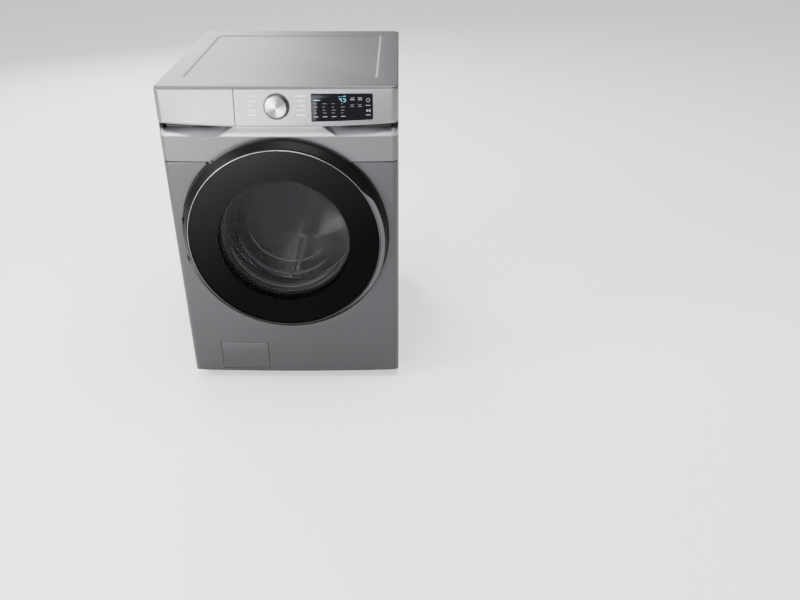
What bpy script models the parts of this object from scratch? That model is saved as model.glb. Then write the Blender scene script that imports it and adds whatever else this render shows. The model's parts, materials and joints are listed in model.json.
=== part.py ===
"""Front load washing machine, built as an assembly of separate closed solids.

Metres, +Z up, the front faces -Y, and the origin is on the floor under the
middle of the whole machine.
"""
import math

import bmesh
import bpy
from mathutils import Matrix, Vector

# Overall size
WIDTH = 0.686
DEPTH = 0.797
HEIGHT = 0.984
CABINET_DEPTH = 0.738
FOOT_HEIGHT = 0.027

HALF = WIDTH / 2
REAR = DEPTH / 2
FRONT = REAR - CABINET_DEPTH
GAP = 0.0005
SHEET = 0.0015
SIDE_TOP = HEIGHT - 0.0275

# Front of the cabinet
BOW = 0.008
CORNER = 0.020
RETURN = 0.025
PANEL_LOW = FOOT_HEIGHT + GAP
SEAM = 0.770
FASCIA_TOP = 0.9785
FASCIA_SPLIT = -0.117
RIM_Z = 0.845

# Door
DOOR_Z = 0.533
DOOR_R = 0.309
GLASS_R = 0.285
BOWL_R = 0.196
OPENING_R = 0.215
RECESS_R = 0.313
RECESS_Y = FRONT + 0.001
HINGE = Vector((-0.295, FRONT - 0.0305, DOOR_Z))
HOOK = Vector((0.2455, FRONT - 0.0165, DOOR_Z))

# Controls
KNOB_X = 0.002
KNOB_Z = 0.932
LEAN = 0.021 / 0.100

# Moving group inside
TUB_R = 0.300
TUB_WALL = 0.003
TUB_FRONT = FRONT + 0.0775
TUB_SEAM = -0.020
TUB_REAR = 0.235
DRUM_R = 0.270
DRUM_FRONT = -0.248
DRUM_REAR = 0.208
SHAFT_R = 0.015
PULLEY_R = 0.150
PULLEY_Y = 0.300
MOTOR = Vector((0.075, 0.0, 0.155))
MOTOR_PULLEY_R = 0.015
DAMPERS = {
    "front_left": (-0.19, -0.09, 0.291),
    "front_right": (0.19, -0.09, 0.291),
    "rear": (-0.17, 0.15, 0.278),
}

# Service parts
FILTER_X = -0.1655
FILTER_Z = 0.092
FILTER_DOOR = (-0.2435, -0.0875, 0.0405, 0.1435)
FOOT_PLACES = {
    "front_left": (-0.295, -0.265),
    "front_right": (0.295, -0.265),
    "rear_left": (-0.295, 0.340),
    "rear_right": (0.295, 0.340),
}

FINISHES = {
    "platinum_paint": ((0.52, 0.52, 0.53), 0.36, 0.75),
    "platinum_plastic": ((0.55, 0.55, 0.56), 0.40, 0.45),
    "galvanised": ((0.58, 0.59, 0.60), 0.42, 0.90),
    "stainless": ((0.62, 0.62, 0.63), 0.25, 1.00),
    "chrome": ((0.80, 0.80, 0.82), 0.10, 1.00),
    "smoked_glass": ((0.02, 0.02, 0.022), 0.05, 0.00),
    "clear_glass": ((0.75, 0.80, 0.80), 0.05, 0.00),
    "grey_rubber": ((0.30, 0.31, 0.32), 0.70, 0.00),
    "black_rubber": ((0.03, 0.03, 0.03), 0.75, 0.00),
    "white_plastic": ((0.80, 0.80, 0.78), 0.50, 0.00),
    "grey_plastic": ((0.38, 0.39, 0.40), 0.50, 0.00),
    "dark_plastic": ((0.05, 0.05, 0.055), 0.45, 0.00),
    "blue_plastic": ((0.10, 0.30, 0.62), 0.45, 0.00),
    "concrete": ((0.46, 0.45, 0.43), 0.90, 0.00),
    "spring_steel": ((0.35, 0.35, 0.36), 0.40, 0.90),
    "aluminium_cast": ((0.60, 0.61, 0.62), 0.50, 0.85),
}


# ---------------------------------------------------------------- helpers

def clear_scene():
    """Remove every object that the opened scene holds."""
    for old in list(bpy.data.objects):
        bpy.data.objects.remove(old, do_unlink=True)


def finish_material(node, finish):
    """One Principled material for one sub-part."""
    colour, roughness, metallic = FINISHES[finish]
    made = bpy.data.materials.new(node + "_" + finish)
    made.use_nodes = True
    shader = made.node_tree.nodes["Principled BSDF"]
    shader.inputs["Base Color"].default_value = (*colour, 1.0)
    shader.inputs["Roughness"].default_value = roughness
    shader.inputs["Metallic"].default_value = metallic
    made.diffuse_color = (*colour, 1.0)
    return made


def add_object(name, bm, finish, origin=(0, 0, 0)):
    """Turn a bmesh in world coordinates into an object with its own origin."""
    bmesh.ops.recalc_face_normals(bm, faces=bm.faces)
    bmesh.ops.translate(bm, vec=-Vector(origin), verts=bm.verts)
    mesh = bpy.data.meshes.new(name)
    bm.to_mesh(mesh)
    bm.free()
    made = bpy.data.objects.new(name, mesh)
    made.location = origin
    bpy.context.scene.collection.objects.link(made)
    if finish:
        mesh.materials.append(finish_material(name, finish))
    else:
        made.hide_render = True
        made.display_type = "WIRE"
    return made


def box(name, finish, low, high, origin=(0, 0, 0)):
    """Rectangular block between two corners."""
    low, high = Vector(low), Vector(high)
    place = Matrix.Translation((low + high) / 2)
    bm = bmesh.new()
    bmesh.ops.create_cube(bm, size=1.0, matrix=place @ Matrix.Diagonal((*(high - low), 1.0)))
    return add_object(name, bm, finish, origin)


def open_box(name, finish, low, high, wall, open_side, origin=(0, 0, 0)):
    """Block hollowed out from the side that faces open_side."""
    low, high, side = Vector(low), Vector(high), Vector(open_side)
    place = Matrix.Translation((low + high) / 2)
    bm = bmesh.new()
    bmesh.ops.create_cube(bm, size=1.0, matrix=place @ Matrix.Diagonal((*(high - low), 1.0)))
    bm.normal_update()
    mouth = [face for face in bm.faces if face.normal.dot(side) > 0.9]
    bmesh.ops.inset_individual(bm, faces=mouth, thickness=wall)
    depth = abs((high - low).dot(side)) - wall
    bmesh.ops.translate(bm, vec=-side * depth, verts=mouth[0].verts)
    return add_object(name, bm, finish, origin)


def loft(name, finish, sections, origin=(0, 0, 0), ring=False, split=False):
    """Skin through closed sections of equal count, capped unless it is a ring."""
    bm = bmesh.new()
    rows = [[bm.verts.new(point) for point in section] for section in sections]
    count = len(rows[0])
    pairs = list(zip(rows, rows[1:]))
    if ring:
        pairs.append((rows[-1], rows[0]))
    else:
        bm.faces.new(rows[0])
        bm.faces.new(list(reversed(rows[-1])))
    for near, far in pairs:
        for i in range(count):
            j = (i + 1) % count
            bm.faces.new((near[i], near[j], far[j], far[i]))
    if split:
        bm.normal_update()
        bmesh.ops.triangulate(bm, faces=bm.faces, quad_method="SHORT_EDGE")
    return add_object(name, bm, finish, origin)


def prism(name, finish, outline, low, high, axis="Z", origin=(0, 0, 0)):
    """Flat outline pushed along one axis from low to high."""
    place = {
        "X": lambda u, v, w: (w, u, v),
        "Y": lambda u, v, w: (u, w, v),
        "Z": lambda u, v, w: (u, v, w),
    }[axis]
    sections = [[place(u, v, w) for u, v in outline] for w in (low, high)]
    return loft(name, finish, sections, origin)


def turned(name, finish, outline, centre=(0, DOOR_Z), steps=40, axis="Y", origin=(0, 0, 0)):
    """Outline of (radius, distance along the axis) spun round the axis."""
    bm = bmesh.new()
    verts = [bm.verts.new((radius, 0, along)) for radius, along in outline]
    edges = [bm.edges.new(pair) for pair in zip(verts, verts[1:])]
    if outline[0][0] > 0:
        edges.append(bm.edges.new((verts[-1], verts[0])))
    bmesh.ops.spin(bm, geom=verts + edges, cent=(0, 0, 0), axis=(0, 0, 1),
                   angle=math.tau, steps=steps, use_merge=True)
    bmesh.ops.remove_doubles(bm, verts=bm.verts, dist=1e-6)
    if axis == "Y":
        turn = Matrix.Rotation(-math.pi / 2, 4, "X")
        shift = Matrix.Translation((centre[0], 0, centre[1]))
    else:
        turn = Matrix.Identity(4)
        shift = Matrix.Translation((centre[0], centre[1], 0))
    bmesh.ops.transform(bm, matrix=shift @ turn, verts=bm.verts)
    made = add_object(name, bm, finish, origin)
    for face in made.data.polygons:
        face.use_smooth = True
    made.data.set_sharp_from_angle(angle=math.radians(35))
    return made


def combine(target, tool, operation="DIFFERENCE"):
    """Boolean that keeps the tool as a hidden guide."""
    change = target.modifiers.new(operation.lower() + "_" + tool.name, "BOOLEAN")
    change.operation = operation
    change.solver = "EXACT"
    change.object = tool
    return target


def arc(cx, cy, radius, start, end, count):
    """Points on an arc, angles in degrees."""
    angles = [math.radians(start + (end - start) * i / (count - 1)) for i in range(count)]
    return [(cx + radius * math.cos(a), cy + radius * math.sin(a)) for a in angles]


def sweep_tube(name, finish, path, outer, inner, sides=12, origin=(0, 0, 0)):
    """Hollow hose along a smoothed path, with open ends."""
    path = [Vector(point) for point in path]
    smooth = []
    for i in range(len(path) - 1):
        before = path[max(i - 1, 0)]
        after = path[min(i + 2, len(path) - 1)]
        for step in range(3):
            t = step / 3
            smooth.append(0.5 * (2 * path[i] + (path[i + 1] - before) * t
                                 + (2 * before - 5 * path[i] + 4 * path[i + 1] - after) * t ** 2
                                 + (3 * path[i] - before - 3 * path[i + 1] + after) * t ** 3))
    smooth.append(path[-1])
    side = None
    frames = []
    for i, point in enumerate(smooth):
        ahead = smooth[min(i + 1, len(smooth) - 1)] - smooth[max(i - 1, 0)]
        ahead.normalize()
        side = ahead.orthogonal() if side is None else side - ahead * side.dot(ahead)
        side = side.normalized()
        frames.append((point, side.copy(), ahead.cross(side)))
    rings = []
    for order, radius in ((frames, outer), (list(reversed(frames)), inner)):
        for point, across, up in order:
            turns = [math.tau * k / sides for k in range(sides)]
            rings.append([point + (across * math.cos(a) + up * math.sin(a)) * radius for a in turns])
    return loft(name, finish, rings, origin, ring=True)


# ---------------------------------------------------------------- shapes shared by panels

def corner_back(x, radius=CORNER):
    """How far the rounded upright corner falls back at x."""
    over = min(max(abs(x) - (HALF - radius), 0.0), radius)
    return radius - math.sqrt(max(radius ** 2 - over ** 2, 0.0))


def plan_front(x):
    """Y of the bowed front face at x."""
    return FRONT - BOW * (1 - (x / HALF) ** 2) + corner_back(x)


def front_columns(start, end, spacing=0.03):
    """X places for a panel's columns, closer together round the corners."""
    count = max(2, round((end - start) / spacing))
    places = {round(start + (end - start) * i / count, 5) for i in range(count + 1)}
    for share in (0.0, 0.35, 0.62, 0.82, 0.95):
        for sign in (-1, 1):
            x = sign * (HALF - CORNER + CORNER * share)
            if start < x < end:
                places.add(round(x, 5))
    return sorted(places)


def face_at(x, z):
    """Y of the leaning fascia's face at x and z."""
    top = FRONT + 0.005
    bottom = FRONT - 0.016 + 0.018 * (x / HALF) ** 2
    low = fascia_low(x)
    share = (FASCIA_TOP - z) / (FASCIA_TOP - low)
    return top + (bottom - top) * share + corner_back(x)


def fascia_low(x):
    """Z of the fascia's lower edge, higher at the sides."""
    return 0.876 + 0.008 * (x / HALF) ** 2


def smooth_step(value, start, end):
    """Zero before start, one after end, smooth between."""
    t = min(max((value - start) / (end - start), 0.0), 1.0)
    return t * t * (3 - 2 * t)


def upper_front(x, z):
    """Y of the panel below the fascia, with its two finger scoops."""
    side = abs(x)
    y = plan_front(x) + 0.010 * smooth_step(z, RIM_Z, RIM_Z + 0.034)
    rim = RIM_Z + 0.012 * smooth_step(side, 0.24, 0.32)
    inner = 0.166 - 0.041 * min(max((z - RIM_Z) / 0.029, 0.0), 1.0)
    across = smooth_step(side, inner, inner + 0.012) * (1 - smooth_step(side, 0.306, 0.322))
    rise = min(max((z - rim) / (0.875 - rim), 0.0), 1.0)
    return min(y + 0.020 * across * math.sin(rise * math.pi / 2), FRONT + RETURN - 0.003)


# ---------------------------------------------------------------- cabinet

def side_panel(name, sign):
    """Sheet side with folded flanges at its front and rear."""
    front = FRONT + RETURN + GAP
    rear = REAR - 0.0035
    outline = [
        (HALF, front), (HALF, rear), (0.320, rear), (0.320, rear - SHEET),
        (HALF - SHEET, rear - SHEET), (HALF - SHEET, front + SHEET),
        (0.324, front + SHEET), (0.324, front),
    ]
    return prism(name, "platinum_paint", [(sign * x, y) for x, y in outline], PANEL_LOW, SIDE_TOP)


def rear_panel():
    """Rear sheet with its service opening and the holes for the ports."""
    panel = box("rear_panel", "galvanised", (-HALF, REAR - 0.003, PANEL_LOW),
                (HALF, REAR - 0.0018, SIDE_TOP))
    holes = {"service": (0, 0.50, 0.185), "cold": (0.215, 0.905, 0.015),
             "hot": (0.265, 0.905, 0.015), "drain": (-0.290, 0.860, 0.0135)}
    for name, (x, z, radius) in holes.items():
        cutter = turned("cut_rear_" + name, None, [(0, 0.38), (radius, 0.38), (radius, 0.41), (0, 0.41)],
                        (x, z), 32)
        combine(panel, cutter)
    return panel


def rear_service_cover():
    """Round dished cover screwed over the rear opening."""
    y = REAR - 0.0014
    outline = [(0, y), (0.197, y), (0.197, y + 0.0014), (0.172, y + 0.0014), (0.166, y + 0.0008),
               (0, y + 0.0008)]
    return turned("rear_service_cover", "galvanised", outline, (0, 0.50), 36)


def rounded_ring(x, y0, y1, radius, z, count=5):
    """Rounded rectangle about X = 0 at one height."""
    points = []
    for cx, cy, start in ((x - radius, y1 - radius, 0), (-x + radius, y1 - radius, 90),
                          (-x + radius, y0 + radius, 180), (x - radius, y0 + radius, 270)):
        points += arc(cx, cy, radius, start, start + 90, count)
    return [(px, py, z) for px, py in points]


def top_panel():
    """Top sheet with rounded edges, a skirt and a shallow sunken field."""
    y0, y1 = FRONT + 0.011, REAR
    low = SIDE_TOP + GAP
    rings = [rounded_ring(HALF - 0.002, y0 + 0.002, y1 - 0.002, 0.019, HEIGHT - 0.005),
             rounded_ring(HALF - 0.002, y0 + 0.002, y1 - 0.002, 0.019, low),
             rounded_ring(HALF, y0, y1, CORNER, low),
             rounded_ring(HALF, y0, y1, CORNER, HEIGHT - 0.004),
             rounded_ring(HALF - 0.0012, y0 + 0.0012, y1 - 0.0012, 0.019, HEIGHT - 0.0012),
             rounded_ring(HALF - 0.004, y0 + 0.004, y1 - 0.004, 0.017, HEIGHT),
             rounded_ring(0.2835, -0.2395, 0.3225, 0.020, HEIGHT),
             rounded_ring(0.2755, -0.2315, 0.3145, 0.014, HEIGHT - 0.0025)]
    return loft("top_panel", "platinum_paint", rings)


def disc_cutter(name, radius, front, back, centre=(0, DOOR_Z), steps=48):
    """Hidden round guide body along Y."""
    outline = [(0, front), (radius, front), (radius, back), (0, back)]
    return turned(name, None, outline, centre, steps)


def front_rays(reach_x, reach_up, reach_down):
    """Directions from the door's centre: even steps, and the four corners."""
    corners = [math.atan2(z, x) % math.tau for x in (-reach_x, reach_x) for z in (reach_up, -reach_down)]
    even = [math.radians(8 * i) for i in range(45)]
    return sorted(corners + [a for a in even if min(abs(a - c) for c in corners) > 0.05])


def front_panel_point(angle, turn, inset):
    """Point on the panel's edge, bent back by turn, on the outer or the inner face."""
    c, s = math.cos(angle), math.sin(angle)
    bend = 0.004
    reach_x = HALF - CORNER
    reach_z = (SEAM - GAP - DOOR_Z if s > 0 else DOOR_Z - PANEL_LOW) - bend
    to_side, to_end = reach_x / max(abs(c), 1e-6), reach_z / max(abs(s), 1e-6)
    reach = min(to_side, to_end)
    sunk = reach < RECESS_R + 0.004
    x, z = reach * c, reach * s
    y = inset + (RECESS_Y if sunk else plan_front(x))
    back = (bend - inset) * (1 - math.cos(turn))
    if to_end <= to_side + 1e-6:
        z += math.copysign((bend - inset) * math.sin(turn), s)
    if to_side <= to_end + 1e-6:
        x += math.copysign((CORNER - inset) * math.sin(turn), c)
        back = (CORNER - inset) * (1 - math.cos(turn))
    return Vector((x, y + back, DOOR_Z + z)), reach, sunk


def front_panel():
    """Pressed lower front: door opening, round recess, bowed face and bent edges."""
    thick = 0.0018
    rays = front_rays(HALF - CORNER, SEAM - GAP - DOOR_Z - 0.004, DOOR_Z - PANEL_LOW - 0.004)
    faces = []
    for inset in (0.0, thick):
        rings = []
        for radius, y in ((OPENING_R + inset, FRONT + 0.016), (OPENING_R + inset, RECESS_Y + inset),
                          (RECESS_R + inset, RECESS_Y + inset), (RECESS_R + inset + 0.0008, None)):
            ring = []
            for a in rays:
                edge, reach, sunk = front_panel_point(a, 0.0, inset)
                limit = reach - (0.0016 if y is not None else 0.0008)
                r = min(radius, limit)
                x = r * math.cos(a)
                depth = y if y is not None else inset + (RECESS_Y if sunk else plan_front(x))
                ring.append(Vector((x, depth, DOOR_Z + r * math.sin(a))))
            rings.append(ring)
        for turn in (0, 30, 60, 90):
            rings.append([front_panel_point(a, math.radians(turn), inset)[0] for a in rays])
        last = [point.copy() for point in rings[-1]]
        for point in last:
            point.y = FRONT + RETURN
        rings.append(last)
        faces.append(rings)
    panel = loft("front_panel", "platinum_paint", faces[0] + list(reversed(faces[1])), ring=True)
    x0, x1, z0, z1 = FILTER_DOOR
    combine(panel, box("cut_front_filter", None, (x0 - GAP, FRONT - 0.03, z0 - GAP),
                       (x1 + GAP, FRONT + 0.01, z1 + GAP)))
    return combine(panel, box("cut_front_slot", None, (0.233, FRONT - 0.03, DOOR_Z - 0.020),
                              (0.260, FRONT + 0.01, DOOR_Z + 0.020)))


def front_upper_panel():
    """Panel between the seam and the fascia, with the band and two finger scoops."""
    thick = 0.0022
    columns = []
    for x in front_columns(-HALF, HALF, 0.033):
        cut = math.sqrt(max(RECESS_R ** 2 - x ** 2, 0.0)) + DOOR_Z
        step = max(cut, SEAM + 0.003)
        deep = cut > SEAM + 0.003
        low = [SEAM, (SEAM + step) / 2, step - 0.0008]
        high = [step + 0.0008, RIM_Z, RIM_Z + 0.006, RIM_Z + 0.013, RIM_Z + 0.022, 0.8755]
        high[0] = min(high[0], RIM_Z - 0.0012)
        low[2] = min(low[2], RIM_Z - 0.0030)
        front = [(max(RECESS_Y, plan_front(x)) if deep else upper_front(x, z), z) for z in low]
        front += [(upper_front(x, z), z) for z in high]
        flat = max(RECESS_Y, plan_front(x)) + thick
        back = [(max(y + thick, flat), z) for y, z in reversed(front)]
        edge = abs(x) > HALF - 0.0035
        if edge:
            back = [(FRONT + RETURN, z) for y, z in back]
        columns.append([(x, y, z) for y, z in front + back])
    return loft("front_upper_panel", "platinum_paint", columns, split=True)


def fascia(name, finish, start, end, origin=(0, 0, 0)):
    """Leaning hollow front strip with closed ends."""
    wall = 0.0025
    places = front_columns(start, end, 0.035)
    places += [start + wall, start + wall + 0.0002, end - wall, end - wall - 0.0002]
    sections = []
    for x in sorted(places):
        low = fascia_low(x)
        ends = x < start + wall + 0.0001 or x > end - wall - 0.0001
        bottom, rear = face_at(x, low), FRONT + RETURN
        inner_low = rear - 0.0005 if ends else min(face_at(x, low + wall) + wall, rear - 0.0005)
        inner_top = rear - 0.0005 if ends else min(face_at(x, 0.9535) + wall, rear - 0.0005)
        step = min(FRONT + 0.0105 + corner_back(x), rear)
        top = face_at(x, FASCIA_TOP)
        sections.append([
            (x, min(top + 0.0015, step - 0.0002), FASCIA_TOP), (x, top - 0.0003, FASCIA_TOP - 0.002),
            (x, bottom - 0.0002, low + 0.0015), (x, min(bottom + 0.0015, rear - 0.0002), low),
            (x, rear, low), (x, rear, low + wall),
            (x, inner_low, low + wall), (x, inner_top, 0.9535),
            (x, rear, 0.9535), (x, rear, 0.9560), (x, step, 0.9562), (x, step, FASCIA_TOP),
        ])
    return loft(name, finish, sections, origin)


def knob_turn():
    """Placement of the knob: its axis stands square on the leaning face."""
    place = Matrix.Translation((KNOB_X, face_at(KNOB_X, KNOB_Z), KNOB_Z))
    return place @ Matrix.Rotation(math.pi / 2 - math.atan(LEAN), 4, "X")


def control_panel():
    """Right part of the fascia, with the hole for the knob's shaft."""
    panel = fascia("control_panel", "platinum_plastic", FASCIA_SPLIT + GAP, HALF)
    cutter = turned("cut_knob_hole", None, [(0, -0.02), (0.0050, -0.02), (0.0050, 0.02), (0, 0.02)],
                    (0, 0), 24, "Z")
    cutter.matrix_world = knob_turn()
    return combine(panel, cutter)


def display_window():
    """Thin black display glass on the fascia's face."""
    sections = []
    for i in range(6):
        x = 0.0985 + 0.173 * i / 5
        low, high = fascia_low(x) + 0.0145, FASCIA_TOP - 0.0115
        near, far = 0.0006, 0.0022
        sections.append([(x, face_at(x, low) - near, low), (x, face_at(x, high) - near, high),
                         (x, face_at(x, high) - far, high), (x, face_at(x, low) - far, low)])
    return loft("display_window", "smoked_glass", sections)


def control_board():
    """Electronics housing behind the fascia."""
    return box("control_board", "dark_plastic", (0.030, FRONT + 0.0110, 0.892),
               (0.310, FRONT + 0.0235, 0.9495))


def selector_knob():
    """Selector with a skirt, a flat face and a shaft through the fascia."""
    outline = [(0, 0.0185), (0.0300, 0.0185), (0.0310, 0.0175), (0.0318, 0.0060), (0.0365, 0.0048),
               (0.0368, 0.0012), (0.0040, 0.0012), (0.0040, -0.0100), (0, -0.0100)]
    knob = turned("selector_knob", "stainless", outline, (0, 0), 32, "Z")
    knob.matrix_world = knob_turn()
    return knob


def base_pan():
    """Tray under the machine with four holes for the feet."""
    pan = open_box("base_pan", "galvanised", (-0.3400, FRONT + 0.0280, PANEL_LOW + 0.0005),
                   (0.3400, REAR - 0.0057, 0.054), 0.002, (0, 0, 1))
    for name, (x, y) in FOOT_PLACES.items():
        combine(pan, turned("cut_foot_" + name, None, [(0, 0), (0.007, 0), (0.007, 0.04), (0, 0.04)],
                            (x, y), 16, "Z"))
    return pan


def levelling_foot(name, x, y):
    """Rubber-soled foot with a lock nut and a threaded stem."""
    outline = [(0, 0), (0.021, 0), (0.0225, 0.002), (0.0225, 0.008), (0.019, 0.011), (0.011, 0.012),
               (0.011, 0.022), (0.006, 0.022), (0.006, 0.062), (0, 0.062)]
    return turned("foot_" + name, "black_rubber", outline, (x, y), 16, "Z", (x, y, 0))


def crossbar():
    """Channel across the cabinet that the tub springs hang from."""
    y, z = -0.040, 0.922
    outline = [(y, z), (y + 0.036, z), (y + 0.036, z + 0.028), (y + 0.0345, z + 0.028),
               (y + 0.0345, z + 0.0015), (y + 0.0015, z + 0.0015), (y + 0.0015, z + 0.028), (y, z + 0.028)]
    return prism("spring_crossbar", "galvanised", outline, -0.3405, 0.3405, "X")


def dispenser_housing():
    """Open-fronted housing that the drawer slides in."""
    return open_box("dispenser_housing", "white_plastic", (-0.3215, FRONT + 0.0260, 0.880),
                    (-0.1395, -0.050, 0.950), 0.002, (0, -1, 0))


def inlet_valve():
    """Twin water valve: a body with two ports through the rear panel."""
    body = box("inlet_valve", "white_plastic", (0.195, 0.325, 0.888), (0.285, 0.368, 0.922))
    for x in (0.215, 0.265):
        side = "cold" if x < 0.24 else "hot"
        outline = [(0, 0.366), (0.0128, 0.366), (0.0128, REAR - 0.0003), (0.0095, REAR - 0.0003),
                   (0.0095, 0.376), (0, 0.376)]
        combine(body, turned("join_port_" + side, None, outline, (x, 0.905), 20), "UNION")
    return body


def drain_outlet():
    """Spigot that carries the drain hose through the rear panel."""
    outline = [(0.0095, 0.352), (0.0125, 0.352), (0.0125, REAR - 0.0003), (0.0095, REAR - 0.0003)]
    return turned("drain_outlet", "grey_plastic", outline, (-0.290, 0.860), 20)


def door_lock():
    """Lock body behind the front panel with a pocket for the hook."""
    lock = box("door_lock", "dark_plastic", (0.226, RECESS_Y + 0.0024, 0.488), (0.274, FRONT + 0.030, 0.578))
    pocket = box("cut_lock_pocket", None, (0.231, FRONT - 0.01, DOOR_Z - 0.020),
                 (0.262, FRONT + 0.0235, DOOR_Z + 0.020))
    return combine(lock, pocket)


def hinge_bracket():
    """Plate on the front panel with two ears that hold the door's pins."""
    z0, z1 = DOOR_Z - 0.070, DOOR_Z + 0.070
    bracket = box("hinge_bracket", "galvanised", (-0.3015, RECESS_Y - 0.0028, z0),
                  (-0.2640, RECESS_Y - GAP, z1))
    for name, low in (("low", z0), ("high", z1 - 0.019)):
        ear = box("join_ear_" + name, None, (HINGE.x - 0.0062, HINGE.y - 0.0058, low),
                  (HINGE.x + 0.0062, RECESS_Y - 0.0010, low + 0.019))
        combine(bracket, ear, "UNION")
    pin = turned("cut_ear_pin", None, [(0, z0 - 0.01), (0.0033, z0 - 0.01), (0.0033, z1 + 0.01),
                                       (0, z1 + 0.01)], (HINGE.x, HINGE.y), 20, "Z")
    return combine(bracket, pin)


def pump_body():
    """Drain pump: filter chamber open to the front, motor behind it."""
    outline = [(0, -0.140), (0.028, -0.140), (0.028, -0.200), (0.034, -0.205), (0.034, FRONT + 0.0095),
               (0.0315, FRONT + 0.0095), (0.0315, -0.210), (0, -0.210)]
    return turned("pump_body", "dark_plastic", outline, (FILTER_X, FILTER_Z), 32)


def damper_cylinder(name, x, y):
    """Outer tube of a friction damper."""
    outline = [(0, 0.0306), (0.014, 0.0306), (0.014, 0.200), (0.0068, 0.200), (0.0068, 0.042), (0, 0.042)]
    return turned("damper_cylinder_" + name, "grey_plastic", outline, (x, y), 20, "Z")


def drain_hose():
    """Hose from the pump along the left side and up to the rear outlet."""
    path = [(-0.2025, -0.224, 0.092), (-0.235, -0.222, 0.092), (-0.285, -0.170, 0.086),
            (-0.300, -0.050, 0.082), (-0.300, 0.120, 0.082), (-0.300, 0.270, 0.084),
            (-0.300, 0.318, 0.130), (-0.300, 0.325, 0.300), (-0.300, 0.325, 0.550),
            (-0.300, 0.320, 0.790), (-0.296, 0.322, 0.840), (-0.290, 0.336, 0.860),
            (-0.290, 0.3490, 0.860)]
    return sweep_tube("drain_hose", "black_rubber", path, 0.0120, 0.0095, 7)


# ---------------------------------------------------------------- door

def hinge_pocket(name):
    """Hidden guide that clears the door's edge round the hinge."""
    return box(name, None, (-0.330, HINGE.y - 0.0095, DOOR_Z - 0.078), (-0.2600, FRONT + 0.01, DOOR_Z + 0.078))


def door_rear_frame():
    """Ring-shaped channel that carries the door's parts from behind."""
    back, lip = FRONT - 0.0045, FRONT - 0.0270
    outline = [(0.197, back), (0.300, back), (0.300, lip), (0.2975, lip), (0.2975, back - 0.0025),
               (0.1995, back - 0.0025), (0.1995, lip), (0.197, lip)]
    frame = turned("door_rear_frame", "grey_plastic", outline, steps=40, origin=HINGE)
    combine(frame, hinge_pocket("cut_frame_hinge"))
    return combine(frame, box("cut_frame_hook", None, (0.2335, FRONT - 0.03, DOOR_Z - 0.013),
                              (0.2590, FRONT + 0.01, DOOR_Z + 0.013)))


def door_bezel():
    """Tapering outer wall of the door with its inner flange and finger recess."""
    edge, front = FRONT - 0.0277, FRONT - 0.0500
    flange = FRONT - 0.0350
    outline = [(DOOR_R, edge), (DOOR_R, edge - 0.003), (0.2908, front), (0.2872, front), (0.2872, flange),
               (0.2050, flange), (0.2050, flange + 0.003), (0.3030, flange + 0.003), (0.3062, edge)]
    bezel = turned("door_bezel", "dark_plastic", outline, steps=40, origin=HINGE)
    combine(bezel, hinge_pocket("cut_bezel_hinge"))
    sections = []
    for i in range(13):
        a = math.radians(-50 + 78 * i / 12)
        ends = math.sin(math.pi * (i + 0.5) / 13) ** 0.5
        inner = 0.3050 - 0.0140 * ends
        sections.append([(r * math.cos(a), y, DOOR_Z + r * math.sin(a)) for r, y in (
            (inner, front + 0.0030), (0.330, front + 0.0030), (0.330, flange - 0.0010), (inner, flange - 0.0010))])
    return combine(bezel, loft("cut_bezel_fingers", None, sections))


def door_trim_ring():
    """Thin bright ring round the glass."""
    y = FRONT - 0.0505
    outline = [(0.2856, y), (0.2899, y), (0.2895, y - 0.0024), (0.2862, y - 0.0024)]
    return turned("door_trim_ring", "chrome", outline, steps=40, origin=HINGE)


def door_window():
    """Domed outer glass of the door."""
    apex, edge = -REAR, FRONT - 0.0490
    rise = edge - apex
    outer = [(GLASS_R * i / 5, apex + rise * (i / 5) ** 2) for i in range(6)]
    inner = [(r, y + 0.0040) for r, y in reversed(outer)]
    return turned("door_window", "smoked_glass", outer + inner, steps=40, origin=HINGE)


def door_bowl():
    """Clear bowl that reaches into the drum's mouth."""
    base = FRONT - 0.0205
    outline = [(0, -0.2450), (0.100, -0.2470), (0.143, -0.2530), (0.152, -0.2640), (0.178, -0.3400),
               (0.1850, base - 0.0005 + 0.004), (BOWL_R, base), (BOWL_R, base - 0.0040), (0.1810, base - 0.0040),
               (0.1730, -0.3385), (0.1470, -0.2665), (0.1395, -0.2575), (0.0985, -0.2520), (0, -0.2500)]
    return turned("door_bowl", "clear_glass", outline, steps=32, origin=HINGE)


def door_handle():
    """Crescent grip lip on the right of the door."""
    sections = []
    for i in range(25):
        share = i / 24
        a = math.radians(-58 + 93 * share)
        width = 0.0006 + 0.0122 * smooth_step(share, 0.0, 0.42) * (1 - smooth_step(share, 0.90, 1.0))
        inner, outer = 0.2904, 0.2904 + width
        near, far = FRONT - 0.0505, FRONT - 0.0540
        sections.append([(r * math.cos(a), y, DOOR_Z + r * math.sin(a)) for r, y in (
            (inner, near), (outer, near + 0.0010 * (width > 0.002)), (outer, far + 0.0012), (inner, far))])
    return loft("door_handle", "platinum_plastic", sections, HINGE)


def hinge_arm():
    """Knuckle with its pins and the leaf screwed inside the door."""
    z0, z1 = DOOR_Z - 0.0500, DOOR_Z + 0.0500
    outline = [(0, z0 - 0.016), (0.003, z0 - 0.016), (0.003, z0), (0.006, z0), (0.006, z1), (0.003, z1),
               (0.003, z1 + 0.016), (0, z1 + 0.016)]
    arm = turned("hinge_arm", "galvanised", outline, (HINGE.x, HINGE.y), 20, "Z", HINGE)
    leaf = box("join_hinge_leaf", None, (HINGE.x, FRONT - 0.0310, z0 + 0.002), (-0.225, FRONT - 0.0280, z1 - 0.002))
    return combine(arm, leaf, "UNION")


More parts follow.
